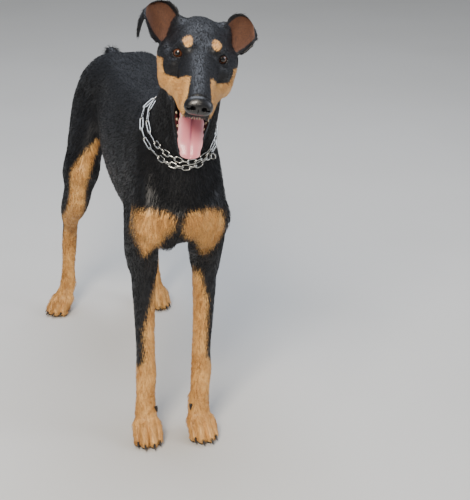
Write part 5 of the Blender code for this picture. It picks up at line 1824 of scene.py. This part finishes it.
    def mark(self, skin: Shell, ear_points: Array, ear_inner: Array) -> None:
        """Work out the values that the coat's finish reads, at each point of the skin."""
        points = skin.points
        normals = point_normals(skin)
        local = to_head(points)
        mouth = np.minimum(self.dog.head.mouth().distance(local), self.dog.head.palate().distance(local))
        on_head = (points - POLL_POINT) @ POLL_FACING > 0
        gap, index = nearest(ear_points, points)
        skin.marks["rust"] = Markings().rust(points)
        skin.marks["lie"] = Lie().weights(points, normals)
        skin.marks["ear"] = np.where(gap < 0.0025, ear_inner[index], -1.2)
        skin.marks["lip"] = np.where(on_head, np.clip((0.0032 - mouth) / 0.0012, -2, 2), -2)
        skin.marks["mouth"] = np.where(on_head, np.clip((0.0006 - mouth) / 0.0006, -2, 2), -2)
        skin.marks["pad"] = np.clip((0.0060 - points[:, 2]) / 0.002, -2, 2)
        skin.marks["tone"] = np.zeros(len(points))


def point_normals(shell: Shell) -> Array:
    """The mean outward direction at each point, weighted by the area of its triangles."""
    a, b, c = (shell.points[shell.triangles[:, k]] for k in range(3))
    across = np.cross(b - a, c - a)
    total = np.zeros_like(shell.points)
    for corner in range(3):
        for k in range(3):
            total[:, k] += np.bincount(shell.triangles[:, corner], across[:, k], len(total))
    return rows_unit(total)


def nearest(places: Array, points: Array, size: int = 1500) -> tuple[Array, Array]:
    """The distance to and the number of the nearest place, for each point.

    Args:
        places: the places to search.
        points: where to search from.
        size: how many points are worked out at once.

    Returns:
        Distances, which are infinite beyond the places' box by 1 cm, and numbers.
    """
    gap, index = np.full(len(points), np.inf), np.zeros(len(points), int)
    low, high = places.min(0) - 0.01, places.max(0) + 0.01
    close = np.flatnonzero(((points > low) & (points < high)).all(1))
    square = (places**2).sum(1)
    for i in range(0, len(close), size):
        rows = close[i : i + size]
        here = points[rows]
        spread = square - 2 * here @ places.T
        best = spread.argmin(1)
        index[rows] = best
        gap[rows] = np.linalg.norm(here - places[best], axis=1)
    return gap, index


class Region(Enum):
    """The coat's pieces: name, number of tufts, length, width and lift of a tuft in metres."""

    HEAD = ("coat_head", 15000, 0.0060, 0.0007, 0.0008)
    NECK = ("coat_neck", 15000, 0.0110, 0.0009, 0.0020)
    TORSO_RIGHT = ("coat_torso_right", 16000, 0.0120, 0.0009, 0.0018)
    TORSO_LEFT = ("coat_torso_left", 16000, 0.0120, 0.0009, 0.0018)
    FORELEGS = ("coat_forelegs", 14000, 0.0080, 0.0008, 0.0014)
    HINDLEGS = ("coat_hindlegs", 16000, 0.0095, 0.0009, 0.0017)


def region_of(points: Array) -> Array:
    """Which region each place belongs to, as its number in the order of Region."""
    x, y, z = points.T
    made = np.where(x < 0, 2, 3)
    made = np.where((points - NECK_BASE) @ NECK_BASE_FACING > 0, 1, made)
    made = np.where((z < 0.400) & (y < 0.200), 4, made)
    made = np.where((z < 0.450) & (y > 0.430), 5, made)
    return np.where((points - POLL_POINT) @ POLL_FACING > 0, 0, made)


@dataclass
class Unwrap:
    """The skin laid flat: each limb, and the trunk with the head and ears, is slit along one side and
    unrolled.

    Along a limb's line is across the strip, and the angle round it is up the strip.
    """

    lines: tuple[tuple[tuple[float, float, float], ...], ...] = (
        (
            (-0.066, -0.395, 0.835),
            (-0.030, -0.240, 0.850),
            (-0.008, -0.138, 0.815),
            (0, 0.0, 0.65),
            (0, 0.15, 0.54),
            (0, 0.64, 0.57),
        ),
        ((-0.070, 0.06, 0.44), (-0.062, 0.035, 0.20), (-0.0655, -0.01, 0.0)),
        ((0.064, 0.06, 0.44), (0.054, 0.035, 0.20), (0.045, -0.01, 0.0)),
        ((-0.09, 0.56, 0.46), (-0.112, 0.53, 0.36), (-0.112, 0.69, 0.165), (-0.135, 0.66, 0.0)),
        ((0.09, 0.56, 0.46), (0.090, 0.53, 0.36), (0.090, 0.69, 0.165), (0.095, 0.66, 0.0)),
    )
    strips: tuple[tuple[float, float, float, float], ...] = (
        (0.01, 0.52, 0.98, 0.46),
        (0.01, 0.27, 0.47, 0.22),
        (0.51, 0.27, 0.47, 0.22),
        (0.01, 0.02, 0.47, 0.22),
        (0.51, 0.02, 0.47, 0.22),
    )

    def flat(self, points: Array) -> Array:
        """The flat place of each point of the skin."""
        region = region_of(points)
        right, fore, hind = points[:, 0] < 0, region == 4, region == 5
        part = np.select([fore & right, fore, hind & right, hind], [1, 2, 3, 4], 0)
        made = np.zeros((len(points), 2))
        for number, (line, (u, v, wide, tall)) in enumerate(zip(self.lines, self.strips)):
            own = np.flatnonzero(part == number)
            if not len(own):
                continue
            stations = np.hstack([np.array(line), np.full((len(line), 2), 0.05)])
            tube = Tube(stations, step=0.01)
            place, i = tube.place(points[own])
            offset = points[own] - tube.centre[i]
            angle = np.arctan2((offset * tube.side[i]).sum(1), (offset * tube.up[i]).sum(1))
            made[own, 0] = u + wide * place / (len(tube.centre) - 1)
            made[own, 1] = v + tall * (angle / math.tau + 0.5)
        return made


@dataclass
class Coat:
    """Tufts of short hair: thin three-sided blades that lie along the skin and bend down to it."""

    skin: Shell
    seed: int = 7
    patch: float = 0.003
    sink: float = 0.0005
    scatter: float = 0.16

    # Triangles of one blade: its root's three corners, the three at its middle, and its tip
    blade = (
        (0, 2, 1),
        (0, 1, 4),
        (0, 4, 3),
        (1, 2, 5),
        (1, 5, 4),
        (2, 0, 3),
        (2, 3, 5),
        (3, 4, 6),
        (4, 5, 6),
        (5, 3, 6),
    )

    def build(self) -> list[bpy.types.Object]:
        """One piece for each region."""
        points, triangles = self.skin.points, self.skin.triangles
        corners = points[triangles]
        normals = point_normals(self.skin)
        across = np.cross(corners[:, 1] - corners[:, 0], corners[:, 2] - corners[:, 0])
        area = np.linalg.norm(across, axis=1) / 2
        middle = corners.mean(1)
        region = region_of(middle)
        mark = self.skin.marks
        bald = mark["mouth"][triangles].mean(1) > -1.5
        bald |= mark["lip"][triangles].mean(1) > -0.3
        bald |= mark["pad"][triangles].mean(1) > -1.5
        bald |= mark["ear"][triangles].mean(1) > -0.9
        want = area * self.crowding(middle) * ~bald
        lie = Lie()
        unwrap = Unwrap()
        made = []
        for number, kind in enumerate(Region):
            name, count, length, width, lift = kind.value
            rng = np.random.default_rng(self.seed + number)
            chance = np.where(region == number, want, 0)
            chosen = rng.choice(len(chance), count, p=chance / chance.sum())
            share = rng.random((count, 2))
            over = share.sum(1) > 1
            share[over] = 1 - share[over]
            weight = np.stack([1 - share.sum(1), *share.T], 1)[:, :, None]
            ids = triangles[chosen]
            root = (points[ids] * weight).sum(1)
            out = rows_unit((normals[ids] * weight).sum(1))
            way = lie.directions(root, out)
            way = rows_unit(way + rng.normal(0, self.scatter, (count, 3)))
            way = rows_unit(way - (way * out).sum(1)[:, None] * out)
            rise = self.lifting(root)
            sizes = (
                length * rng.uniform(0.7, 1.25, count) * (0.75 + 0.5 * rise),
                width * rng.uniform(0.7, 1.3, count),
                lift * rng.uniform(0.5, 1.3, count) * rise,
            )
            shell = self.blades(root, out, way, *sizes)
            for label, values in mark.items():
                chosen_value = (values[ids] * (weight if values.ndim == 2 else weight[:, :, 0])).sum(1)
                shell.marks[label] = np.repeat(chosen_value, 7, axis=0)
            shell.marks["tone"] = np.repeat(rng.uniform(-0.25, 0.25, count), 7)
            tufts = piece(name, shell, ShortHair())
            self.unwrapped(tufts, unwrap.flat(root))
            made.append(tufts)
        return made

    def crowding(self, points: Array) -> Array:
        """How much denser tufts grow where the coat breaks the form."""
        return 1 + 1.5 * (self.lifting(points) - 1)

    def lifting(self, points: Array) -> Array:
        """How much the hair stands off: more at throat, chest, belly, thigh backs, elbows and tail."""
        spots = (
            ((0, -0.100, 0.700), 0.05, 0.5),
            ((0, -0.060, 0.480), 0.06, 0.7),
            ((-0.06, -0.03, 0.430), 0.04, 0.6),
            ((0.05, -0.03, 0.420), 0.04, 0.6),
            ((0, 0.120, 0.390), 0.07, 0.6),
            ((0, 0.350, 0.420), 0.08, 0.5),
            ((-0.07, 0.660, 0.500), 0.06, 0.9),
            ((0.07, 0.660, 0.500), 0.06, 0.9),
            ((-0.06, 0.110, 0.380), 0.03, 0.8),
            ((0.06, 0.110, 0.380), 0.03, 0.8),
            ((0, 0.640, 0.640), 0.04, 0.8),
        )
        made = np.ones(len(points))
        for place, reach, more in spots:
            gap = ((points - np.array(place)) ** 2).sum(1)
            made += more * np.exp(-gap / reach**2)
        return made

    def blades(self, root: Array, out: Array, way: Array, length: Array, width: Array, lift: Array) -> Shell:
        """Blades whose middle stands highest: height = lift at half length and 0.8 lift at the tip.

        Args:
            root: where each blade leaves the skin.
            out: the skin's outward direction there.
            way: the lie of the hair there.
            length: each blade's length.
            width: its width at the root.
            lift: how far it stands off the skin.

        Returns:
            All the blades as one shell, seven points each.
        """
        side = np.cross(way, out)
        base = root - out * self.sink
        middle = root + way * (length / 2)[:, None] + out * lift[:, None]
        tip = root + way * length[:, None] + out * (lift * 0.8)[:, None]
        half = (width / 2)[:, None]
        rows = [
            base - side * half,
            base + side * half,
            base + out * half * 1.2,
            middle - side * half * 0.8,
            middle + side * half * 0.8,
            middle + out * half * 0.8,
            tip,
        ]
        points = np.stack(rows, 1)
        first = np.arange(len(root))[:, None, None] * 7
        triangles = (np.array(self.blade)[None] + first).reshape(-1, 3)
        return Shell(points.reshape(-1, 3), triangles).facing_out()

    def unwrapped(self, tufts: bpy.types.Object, roots: Array) -> None:
        """Give each tuft a small patch of the map at its root's flat place.

        Args:
            tufts: the tufts' object.
            roots: the flat place of each root.
        """
        half = self.patch / 2
        corners = np.array([(-1, -1), (1, -1), (0, -1), (-0.8, 0), (0.8, 0), (0, 0), (0, 1)]) * half
        flat = (roots[:, None] + corners).reshape(-1, 2)
        mesh = tufts.data
        index = np.empty(len(mesh.loops), int)
        mesh.loops.foreach_get("vertex_index", index)
        layer = mesh.uv_layers.new(name="OFBake")
        layer.data.foreach_set("uv", flat[index].astype(np.float32).ravel())


@dataclass(frozen=True)
class Eyes:
    """Two eyeballs with fuller fronts, and the wet black rims of their lids."""

    cornea: float = 0.0009
    rim: float = 0.0008

    def ball(self, side: int) -> Shell:
        """An eyeball in the head's frame: radius + cornea exp(-(a / 0.6)^2) at the angle a from sight."""
        sight, across, up = eye_frame(side)
        angle = np.radians(np.arange(4, 180, 4.0))
        radius = EYE_RADIUS - 0.0002 + self.cornea * np.exp(-((angle / 0.6) ** 2))
        centres = mirrored(side, EYE) + np.outer(radius * np.cos(angle), sight)
        wide = (radius * np.sin(angle))[:, None]
        rings = ringed(centres, wide * across, wide * up, 48)
        front = mirrored(side, EYE) + sight * (EYE_RADIUS - 0.0002 + self.cornea)
        ball = capped(rings, front, mirrored(side, EYE) - sight * EYE_RADIUS)
        ball.marks["axis"] = np.r_[np.repeat(angle / (math.pi / 2), 48), 0.0, 2.0]
        return ball

    def lid_rim(self, side: int) -> Shell:
        """A rounded rim along the lens between the lids, on the ball's surface."""
        sight, across, up = eye_frame(side)
        flat = lid_line(19)
        inside = EYE_RADIUS + self.rim * 0.9
        depth = np.sqrt(np.maximum(inside**2 - (flat**2).sum(1), 0.0))
        path = mirrored(side, EYE) + np.outer(flat[:, 0], across) + np.outer(flat[:, 1], up)
        return wire_loop(path + np.outer(depth, sight), self.rim, sight, 10)

    def build(self) -> None:
        """The eyeballs stand for the frame's eyes, and the rims lie on them."""
        for side, node in ((-1, "eye_right"), (1, "eye_left")):
            ball = self.ball(side).moved(HEAD_ORIGIN, HEAD_TURN)
            piece(node.replace("eye", "eyeball"), ball, WetEye(), [node])
        rims = joined([self.lid_rim(side) for side in (-1, 1)]).moved(HEAD_ORIGIN, HEAD_TURN)
        finish = MoistSkin("wet_lid_rim", "#08070a", "#131116", 0.0006, 0.25)
        piece("eyelid_rims", rims, finish)


@dataclass(frozen=True)
class NoseLeather:
    """The nose leather, with its two wings and nostrils, in the head's frame."""

    centre: tuple[float, float, float] = (0, -0.1370, -0.0335)
    half: tuple[float, float, float] = (0.0222, 0.0145, 0.0165)
    cell: float = 0.0009

    def form(self) -> Blend:
        """The nose's blended form."""
        nose = Blend((Ellipsoid(self.centre, self.half), 0.002))
        for s in (-1, 1):
            nose.add(Ellipsoid((s * 0.0118, -0.1385, -0.0365), (0.0105, 0.0100, 0.0110)), 0.006)
        for s in (-1, 1):
            nose.cut(Ellipsoid((s * 0.0092, -0.1500, -0.0345), (0.0042, 0.0085, 0.0036)), 0.002)
            slit = Ellipsoid((s * 0.0165, -0.1465, -0.0370), (0.0065, 0.0040, 0.0014), (s * 0.6, 0.8, 0))
            nose.cut(slit, 0.0015)
        nose.cut(Ellipsoid((0, -0.1515, -0.0430), (0.0010, 0.0040, 0.0090)), 0.0015)
        return nose

    def build(self) -> None:
        """The nose stands for the frame's nose."""
        form = self.form()
        low, high = form.low - 3 * self.cell, form.high + 3 * self.cell
        values = opened(sampled(form, low, high, self.cell), self.cell / 20)
        points, quads = surface_net(values, low, self.cell)
        shell = Shell(onto(form, points, self.cell), halves(quads)).facing_out()
        piece("nose_leather", shell.moved(HEAD_ORIGIN, HEAD_TURN), MoistSkin(), ["nose"])


@dataclass(frozen=True)
class Tongue:
    """A long tongue hanging over the lower front teeth, with a furrow down its middle."""

    # From root to tip: x, y, z, half width, half thickness
    sections: tuple[tuple[float, ...], ...] = (
        (0, 0.0050, -0.0760, 0.0160, 0.0060),
        (0, -0.0300, -0.0900, 0.0200, 0.0052),
        (0, -0.0640, -0.1085, 0.0212, 0.0044),
        (0.0010, -0.0890, -0.1230, 0.0200, 0.0040),
        (0.0025, -0.0985, -0.1350, 0.0165, 0.0038),
    )
    tip: float = 0.009
    furrow: float = 0.0016
    furrow_width: float = 0.0022
    around: int = 56
    step: float = 0.0012

    def build(self) -> None:
        """The tongue: ellipses along its path, pinched to a round tip, with the furrow pressed in.

        The furrow lowers the upper side by furrow exp(-(x / furrow width)^2), and the edges wave by
        half a millimetre.
        """
        path = smooth_path(self.sections, self.step)
        along = rows_unit(np.gradient(path[:, :3], axis=0))
        close = np.radians(np.linspace(80, 10, 8))
        start = np.outer(np.ones(8), path[0])
        start[:, :3] -= np.outer(np.sin(close) * self.tip, along[0])
        start[:, 3:] *= np.cos(close)[:, None]
        stop = np.outer(np.ones(8), path[-1])
        stop[:, :3] += np.outer(np.sin(close[::-1]) * self.tip, along[-1])
        stop[:, 3:] *= np.cos(close[::-1])[:, None]
        path = np.vstack([start, path, stop])
        along = np.vstack([along[:1].repeat(8, 0), along, along[-1:].repeat(8, 0)])
        side = rows_unit(np.array((1.0, 0, 0)) - along[:, :1] * along)
        up = np.cross(side, along)
        up *= np.where((up @ np.array((0, -0.6, 0.8)))[:, None] < 0, -1, 1)
        run = np.linspace(0, 1, len(path))
        wave = 1 + 0.02 * np.sin(run * 41) + 0.015 * np.sin(run * 67 + 1)
        turn = np.arange(self.around) / self.around * math.tau
        x = np.outer(path[:, 3] * wave, np.cos(turn))
        z = np.outer(path[:, 4], np.sin(turn))
        upper = smooth_step(np.sin(turn), 0.0, 0.5)
        hollow = np.exp(-((x / self.furrow_width) ** 2)) * upper
        fade = smooth_step(path[:, 3], 0.006, 0.014)[:, None]
        z = z - hollow * self.furrow * fade
        rings = path[:, None, :3] + side[:, None] * x[:, :, None] + up[:, None] * z[:, :, None]
        shell = capped(rings, path[0, :3], path[-1, :3] + along[-1] * 0.0001)
        wide = np.exp(-((x / (self.furrow_width * 0.8)) ** 2)) * upper * fade
        wide = wide * (1 - smooth_step(run, 0.70, 0.86))[:, None]
        edge = smooth_step(np.abs(x) / np.maximum(path[:, 3:4], 1e-4), 0.55, 1.0)
        shell.marks["furrow"] = np.r_[wide.ravel(), 0.0, 0.0]
        shell.marks["edge"] = np.r_[edge.ravel(), 1.0, 1.0]
        piece("tongue_flesh", shell.moved(HEAD_ORIGIN, HEAD_TURN), TongueSkin(), ["tongue"])


@dataclass(frozen=True)
class Teeth:
    """The teeth that the open mouth shows, mirrored to both sides: root, lean, length and radius."""

    upper_canine: tuple[Any, ...] = ((0.0190, -0.1080, -0.0500), (0.16, -0.02, -1.0), 0.0215, 0.0032)
    lower_canine: tuple[Any, ...] = ((0.0140, -0.0760, -0.1330), (0.10, -0.45, 0.80), 0.0150, 0.0030)
    premolars: int = 4
    premolar_ends: tuple[tuple[float, float, float], ...] = (
        (0.0195, -0.0600, -0.1200),
        (0.0260, -0.0280, -0.0985),
    )
    incisors: int = 6
    incisor_spread: float = 0.0105

    def build(self) -> None:
        """Canines, premolars and incisors as one piece."""
        shells = []
        for side in (-1, 1):
            for root, lean, length, radius in (self.upper_canine, self.lower_canine):
                shells.append(horn(mirrored(side, root), mirrored(side, lean), length, radius))
            for place in np.linspace(0, 1, self.premolars):
                root = mirrored(side, between(*self.premolar_ends, place))
                shells.append(horn(root, (side * 0.1, -0.35, 0.9), 0.0085, 0.0030))
        for x in np.linspace(-self.incisor_spread, self.incisor_spread, self.incisors):
            upper = (x, -0.1240 + 18 * x * x, -0.0560)
            shells.append(horn(np.array(upper), (x * 4, -0.2, -1.0), 0.0075, 0.0019))
            lower = (x * 0.8, -0.0880 + 18 * x * x, -0.1330)
            shells.append(horn(np.array(lower), (x * 4, -0.45, 0.9), 0.0070, 0.0018))
        teeth = joined(shells).moved(HEAD_ORIGIN, HEAD_TURN)
        piece("teeth", teeth, Enamel())


class Strand(Enum):
    """The collar's two strands: node, distance of the first short link, and their number."""

    UPPER = ("collar_upper", -0.082, 10)
    LOWER = ("collar_lower", -0.066, 9)


@dataclass(frozen=True)
class Collar:
    """A chain collar in two strands of short links at the throat and long links behind."""

    wire: float = 0.0014
    short_link: tuple[float, float] = (0.0170, 0.0120)
    long_link: tuple[float, float] = (0.0320, 0.0090)
    overlap: float = 0.0014
    roll: float = 36.0
    ring_radius: float = 0.0075
    clear: float = 0.0012
    upper: tuple[tuple[float, float, float], ...] = (
        (0.000, 0.062, 0.712),
        (-0.036, 0.052, 0.698),
        (-0.058, 0.022, 0.674),
        (-0.058, -0.014, 0.655),
        (-0.046, -0.047, 0.638),
        (-0.024, -0.068, 0.624),
        (0.000, -0.072, 0.618),
        (0.020, -0.069, 0.623),
        (0.043, -0.056, 0.645),
        (0.057, -0.016, 0.667),
        (0.058, 0.022, 0.684),
        (0.036, 0.052, 0.703),
    )
    lower: tuple[tuple[float, float, float], ...] = (
        (0.000, 0.098, 0.679),
        (-0.036, 0.086, 0.672),
        (-0.062, 0.046, 0.653),
        (-0.064, 0.008, 0.637),
        (-0.054, -0.028, 0.622),
        (-0.034, -0.054, 0.609),
        (-0.012, -0.065, 0.604),
        (0.010, -0.065, 0.606),
        (0.030, -0.058, 0.615),
        (0.056, -0.026, 0.628),
        (0.064, 0.046, 0.655),
        (0.036, 0.086, 0.672),
    )

    def link(self, size: tuple[float, float], along: Array, across: Array, centre: Array) -> Shell:
        """A link of round wire: two straight sides joined by half circles.

        Args:
            size: outer length and width.
            along: the direction of its length.
            across: the direction of its width.
            centre: its middle.

        Returns:
            The link's shell.
        """
        half = size[1] / 2 - self.wire
        straight = size[0] / 2 - self.wire - half
        turn = np.arange(28) / 28 * math.tau
        x = half * np.cos(turn) + straight * np.tanh(np.cos(turn) * 4)
        y = half * np.sin(turn)
        out = np.cross(along, across)
        path = centre + np.outer(x, along) + np.outer(y, across)
        return wire_loop(path, self.wire, out, 8)

    def line(self, flesh: Form, points: Sequence[Sequence[float]]) -> tuple[Array, Array]:
        """The strand's line, close round the neck, with the direction out of the neck at each place."""
        rows = np.vstack([points, points[:1]])
        line = smooth_path(rows, 0.002)
        for _ in range(3):
            out = slope_of(flesh, line)
            line = line + out * (2 * self.wire + self.clear - flesh.distance(line))[:, None]
        return line, slope_of(flesh, line)

    def strand(self, flesh: Form, kind: Strand) -> Shell:
        """One strand of links, short ones first along the line and long ones behind."""
        node, first, count = kind.value
        line, outs = self.line(flesh, np.array(self.upper if kind is Strand.UPPER else self.lower))
        run = np.r_[0, np.cumsum(np.linalg.norm(np.diff(line, axis=0), axis=1))]
        short = self.short_link[0] - 4 * self.wire + self.overlap
        start = run[line[:, 1].argmin()] + first
        rest = run[-1] - count * short
        long_count = round(rest / (self.long_link[0] - 4 * self.wire + self.overlap))
        places = start + short * (np.arange(count) + 0.5)
        after = start + short * count + rest / long_count * (np.arange(long_count) + 0.5)

        def frame_at(place: float) -> tuple[Array, Array, Array, Array]:
            """The line's middle there, and its directions along, out and across."""
            spot, ahead = place % run[-1], (place + 0.004) % run[-1]
            centre, further = ([np.interp(at, run, row) for row in line.T] for at in (spot, ahead))
            out = unit([np.interp(spot, run, row) for row in outs.T])
            along = np.subtract(further, centre)
            along = unit(along - np.dot(along, out) * out)
            return np.array(centre), along, out, np.cross(out, along)

        shells = []
        for number, place in enumerate(np.r_[places, after]):
            centre, along, out, across = frame_at(place)
            roll = math.radians(self.roll) * (1 if number % 2 else -1)
            across = across * math.cos(roll) + out * math.sin(roll)
            pitch = short if number < count else rest / long_count
            width = self.short_link[1] if number < count else self.long_link[1]
            shells.append(self.link((pitch + 4 * self.wire, width), along, across, centre))
        if kind is Strand.LOWER:
            centre, _, out, across = frame_at(start + count * short)
            size = (2 * self.ring_radius + 0.001, 2 * self.ring_radius)
            shells.append(self.link(size, across, out, centre + out * self.ring_radius * 0.7))
        return joined(shells)

    def build(self, flesh: Form) -> None:
        """Both strands, each standing for its node."""
        for kind in Strand:
            node = kind.value[0]
            piece(node + "_chain", self.strand(flesh, kind), SteelWire(), [node])


@dataclass(frozen=True)
class Camera:
    """The photograph's camera, in the dog's frame: place, angles, and focal length in pixels."""

    place: tuple[float, float, float] = (-0.615, -2.625, 1.486)
    yaw: float = -15.47
    pitch: float = 21.72
    roll: float = 1.51
    focal: float = 1486.3
    frame_height: int = 500
    sensor: float = 36.0

    def build(self) -> None:
        """Create the camera and make it the scene's."""
        yaw, pitch, roll = map(math.radians, (self.yaw, self.pitch, self.roll))
        level_run = math.cos(pitch)
        ahead = np.array((-math.sin(yaw) * level_run, math.cos(yaw) * level_run, -math.sin(pitch)))
        level = np.array((math.cos(yaw), math.sin(yaw), 0))
        upright = np.cross(level, ahead)
        right = level * math.cos(roll) + upright * math.sin(roll)
        up = -level * math.sin(roll) + upright * math.cos(roll)
        data = bpy.data.cameras.new("photo_camera")
        data.sensor_width = self.sensor
        data.lens = self.focal / self.frame_height * self.sensor
        data.clip_start, data.clip_end = 0.05, 100
        made = bpy.data.objects.new("photo_camera", data)
        turn = Matrix(np.stack([right, up, -ahead], 1).tolist()).to_4x4()
        made.matrix_world = Matrix.Translation(Vector(np.array(self.place) + STANCE)) @ turn
        bpy.context.scene.collection.objects.link(made)
        bpy.context.scene.camera = made


@dataclass(frozen=True)
class Studio:
    """A pale floor under soft boxes: name, place, aim, size in metres, watts and colour."""

    floor_size: float = 30.0
    world: str = "#c9ced6"
    world_strength: float = 0.42
    boxes: tuple[tuple[Any, ...], ...] = (
        ("key_light", (-1.4, -2.8, 3.0), (0.0, -0.1, 0.6), 1.2, 190.0, "#fff4e4"),
        ("top_light", (0.2, 0.9, 3.2), (0.0, 0.2, 0.5), 2.4, 90.0, "#e8f0ff"),
        ("side_light", (2.8, -1.2, 1.8), (0.0, 0.1, 0.5), 1.6, 35.0, "#eef3ff"),
    )

    def build(self) -> None:
        """The floor, the soft boxes and the world's even light."""
        half = self.floor_size / 2
        corners = np.array([(-half, -half, 0), (half, -half, 0), (half, half, 0), (-half, half, 0)])
        mesh = bpy.data.meshes.new("studio_floor")
        fill_mesh(mesh, corners, np.array([(0, 1, 2), (0, 2, 3)]))
        mesh.materials.append(StudioFloor().material())
        floor = bpy.data.objects.new("studio_floor", mesh)
        bpy.context.scene.collection.objects.link(floor)
        for name, place, aim, size, watts, colour in self.boxes:
            data = bpy.data.lights.new(name, "AREA")
            data.size, data.energy, data.color = size, watts, linear(colour)[:3]
            light = bpy.data.objects.new(name, data)
            light.location = place
            facing = Vector(aim) - Vector(place)
            light.rotation_euler = facing.to_track_quat("-Z", "Y").to_euler()
            bpy.context.scene.collection.objects.link(light)
        world = bpy.data.worlds.new("studio")
        world.use_nodes = True
        shade = world.node_tree.nodes["Background"]
        shade.inputs["Color"].default_value = linear(self.world)
        shade.inputs["Strength"].default_value = self.world_strength
        bpy.context.scene.world = world


FLESH_NODES = (
    "torso",
    "neck",
    "tail",
    "head",
    "jaw",
    "ear_right",
    "ear_left",
    "foreleg_right",
    "foreleg_left",
    "hindleg_right",
    "hindleg_left",
    "forepaw_right",
    "forepaw_left",
    "hindpaw_right",
    "hindpaw_left",
)


def main() -> None:
    """Build every sub-assembly."""
    logging.basicConfig(level=logging.INFO, format="%(relativeCreated)d ms %(message)s")
    dog = Dog()
    Camera().build()
    Studio().build()
    skin = Skin(dog)
    shell = skin.build()
    piece("skin", shell, ShortHair(), FLESH_NODES)
    Coat(shell).build()
    Eyes().build()
    NoseLeather().build()
    Tongue().build()
    Teeth().build()
    claws = joined([foot.claws() for foot in dog.feet()])
    piece("claws", claws, ClawHorn())
    Collar().build(skin.flesh)


if __name__ == "__main__":
    main()
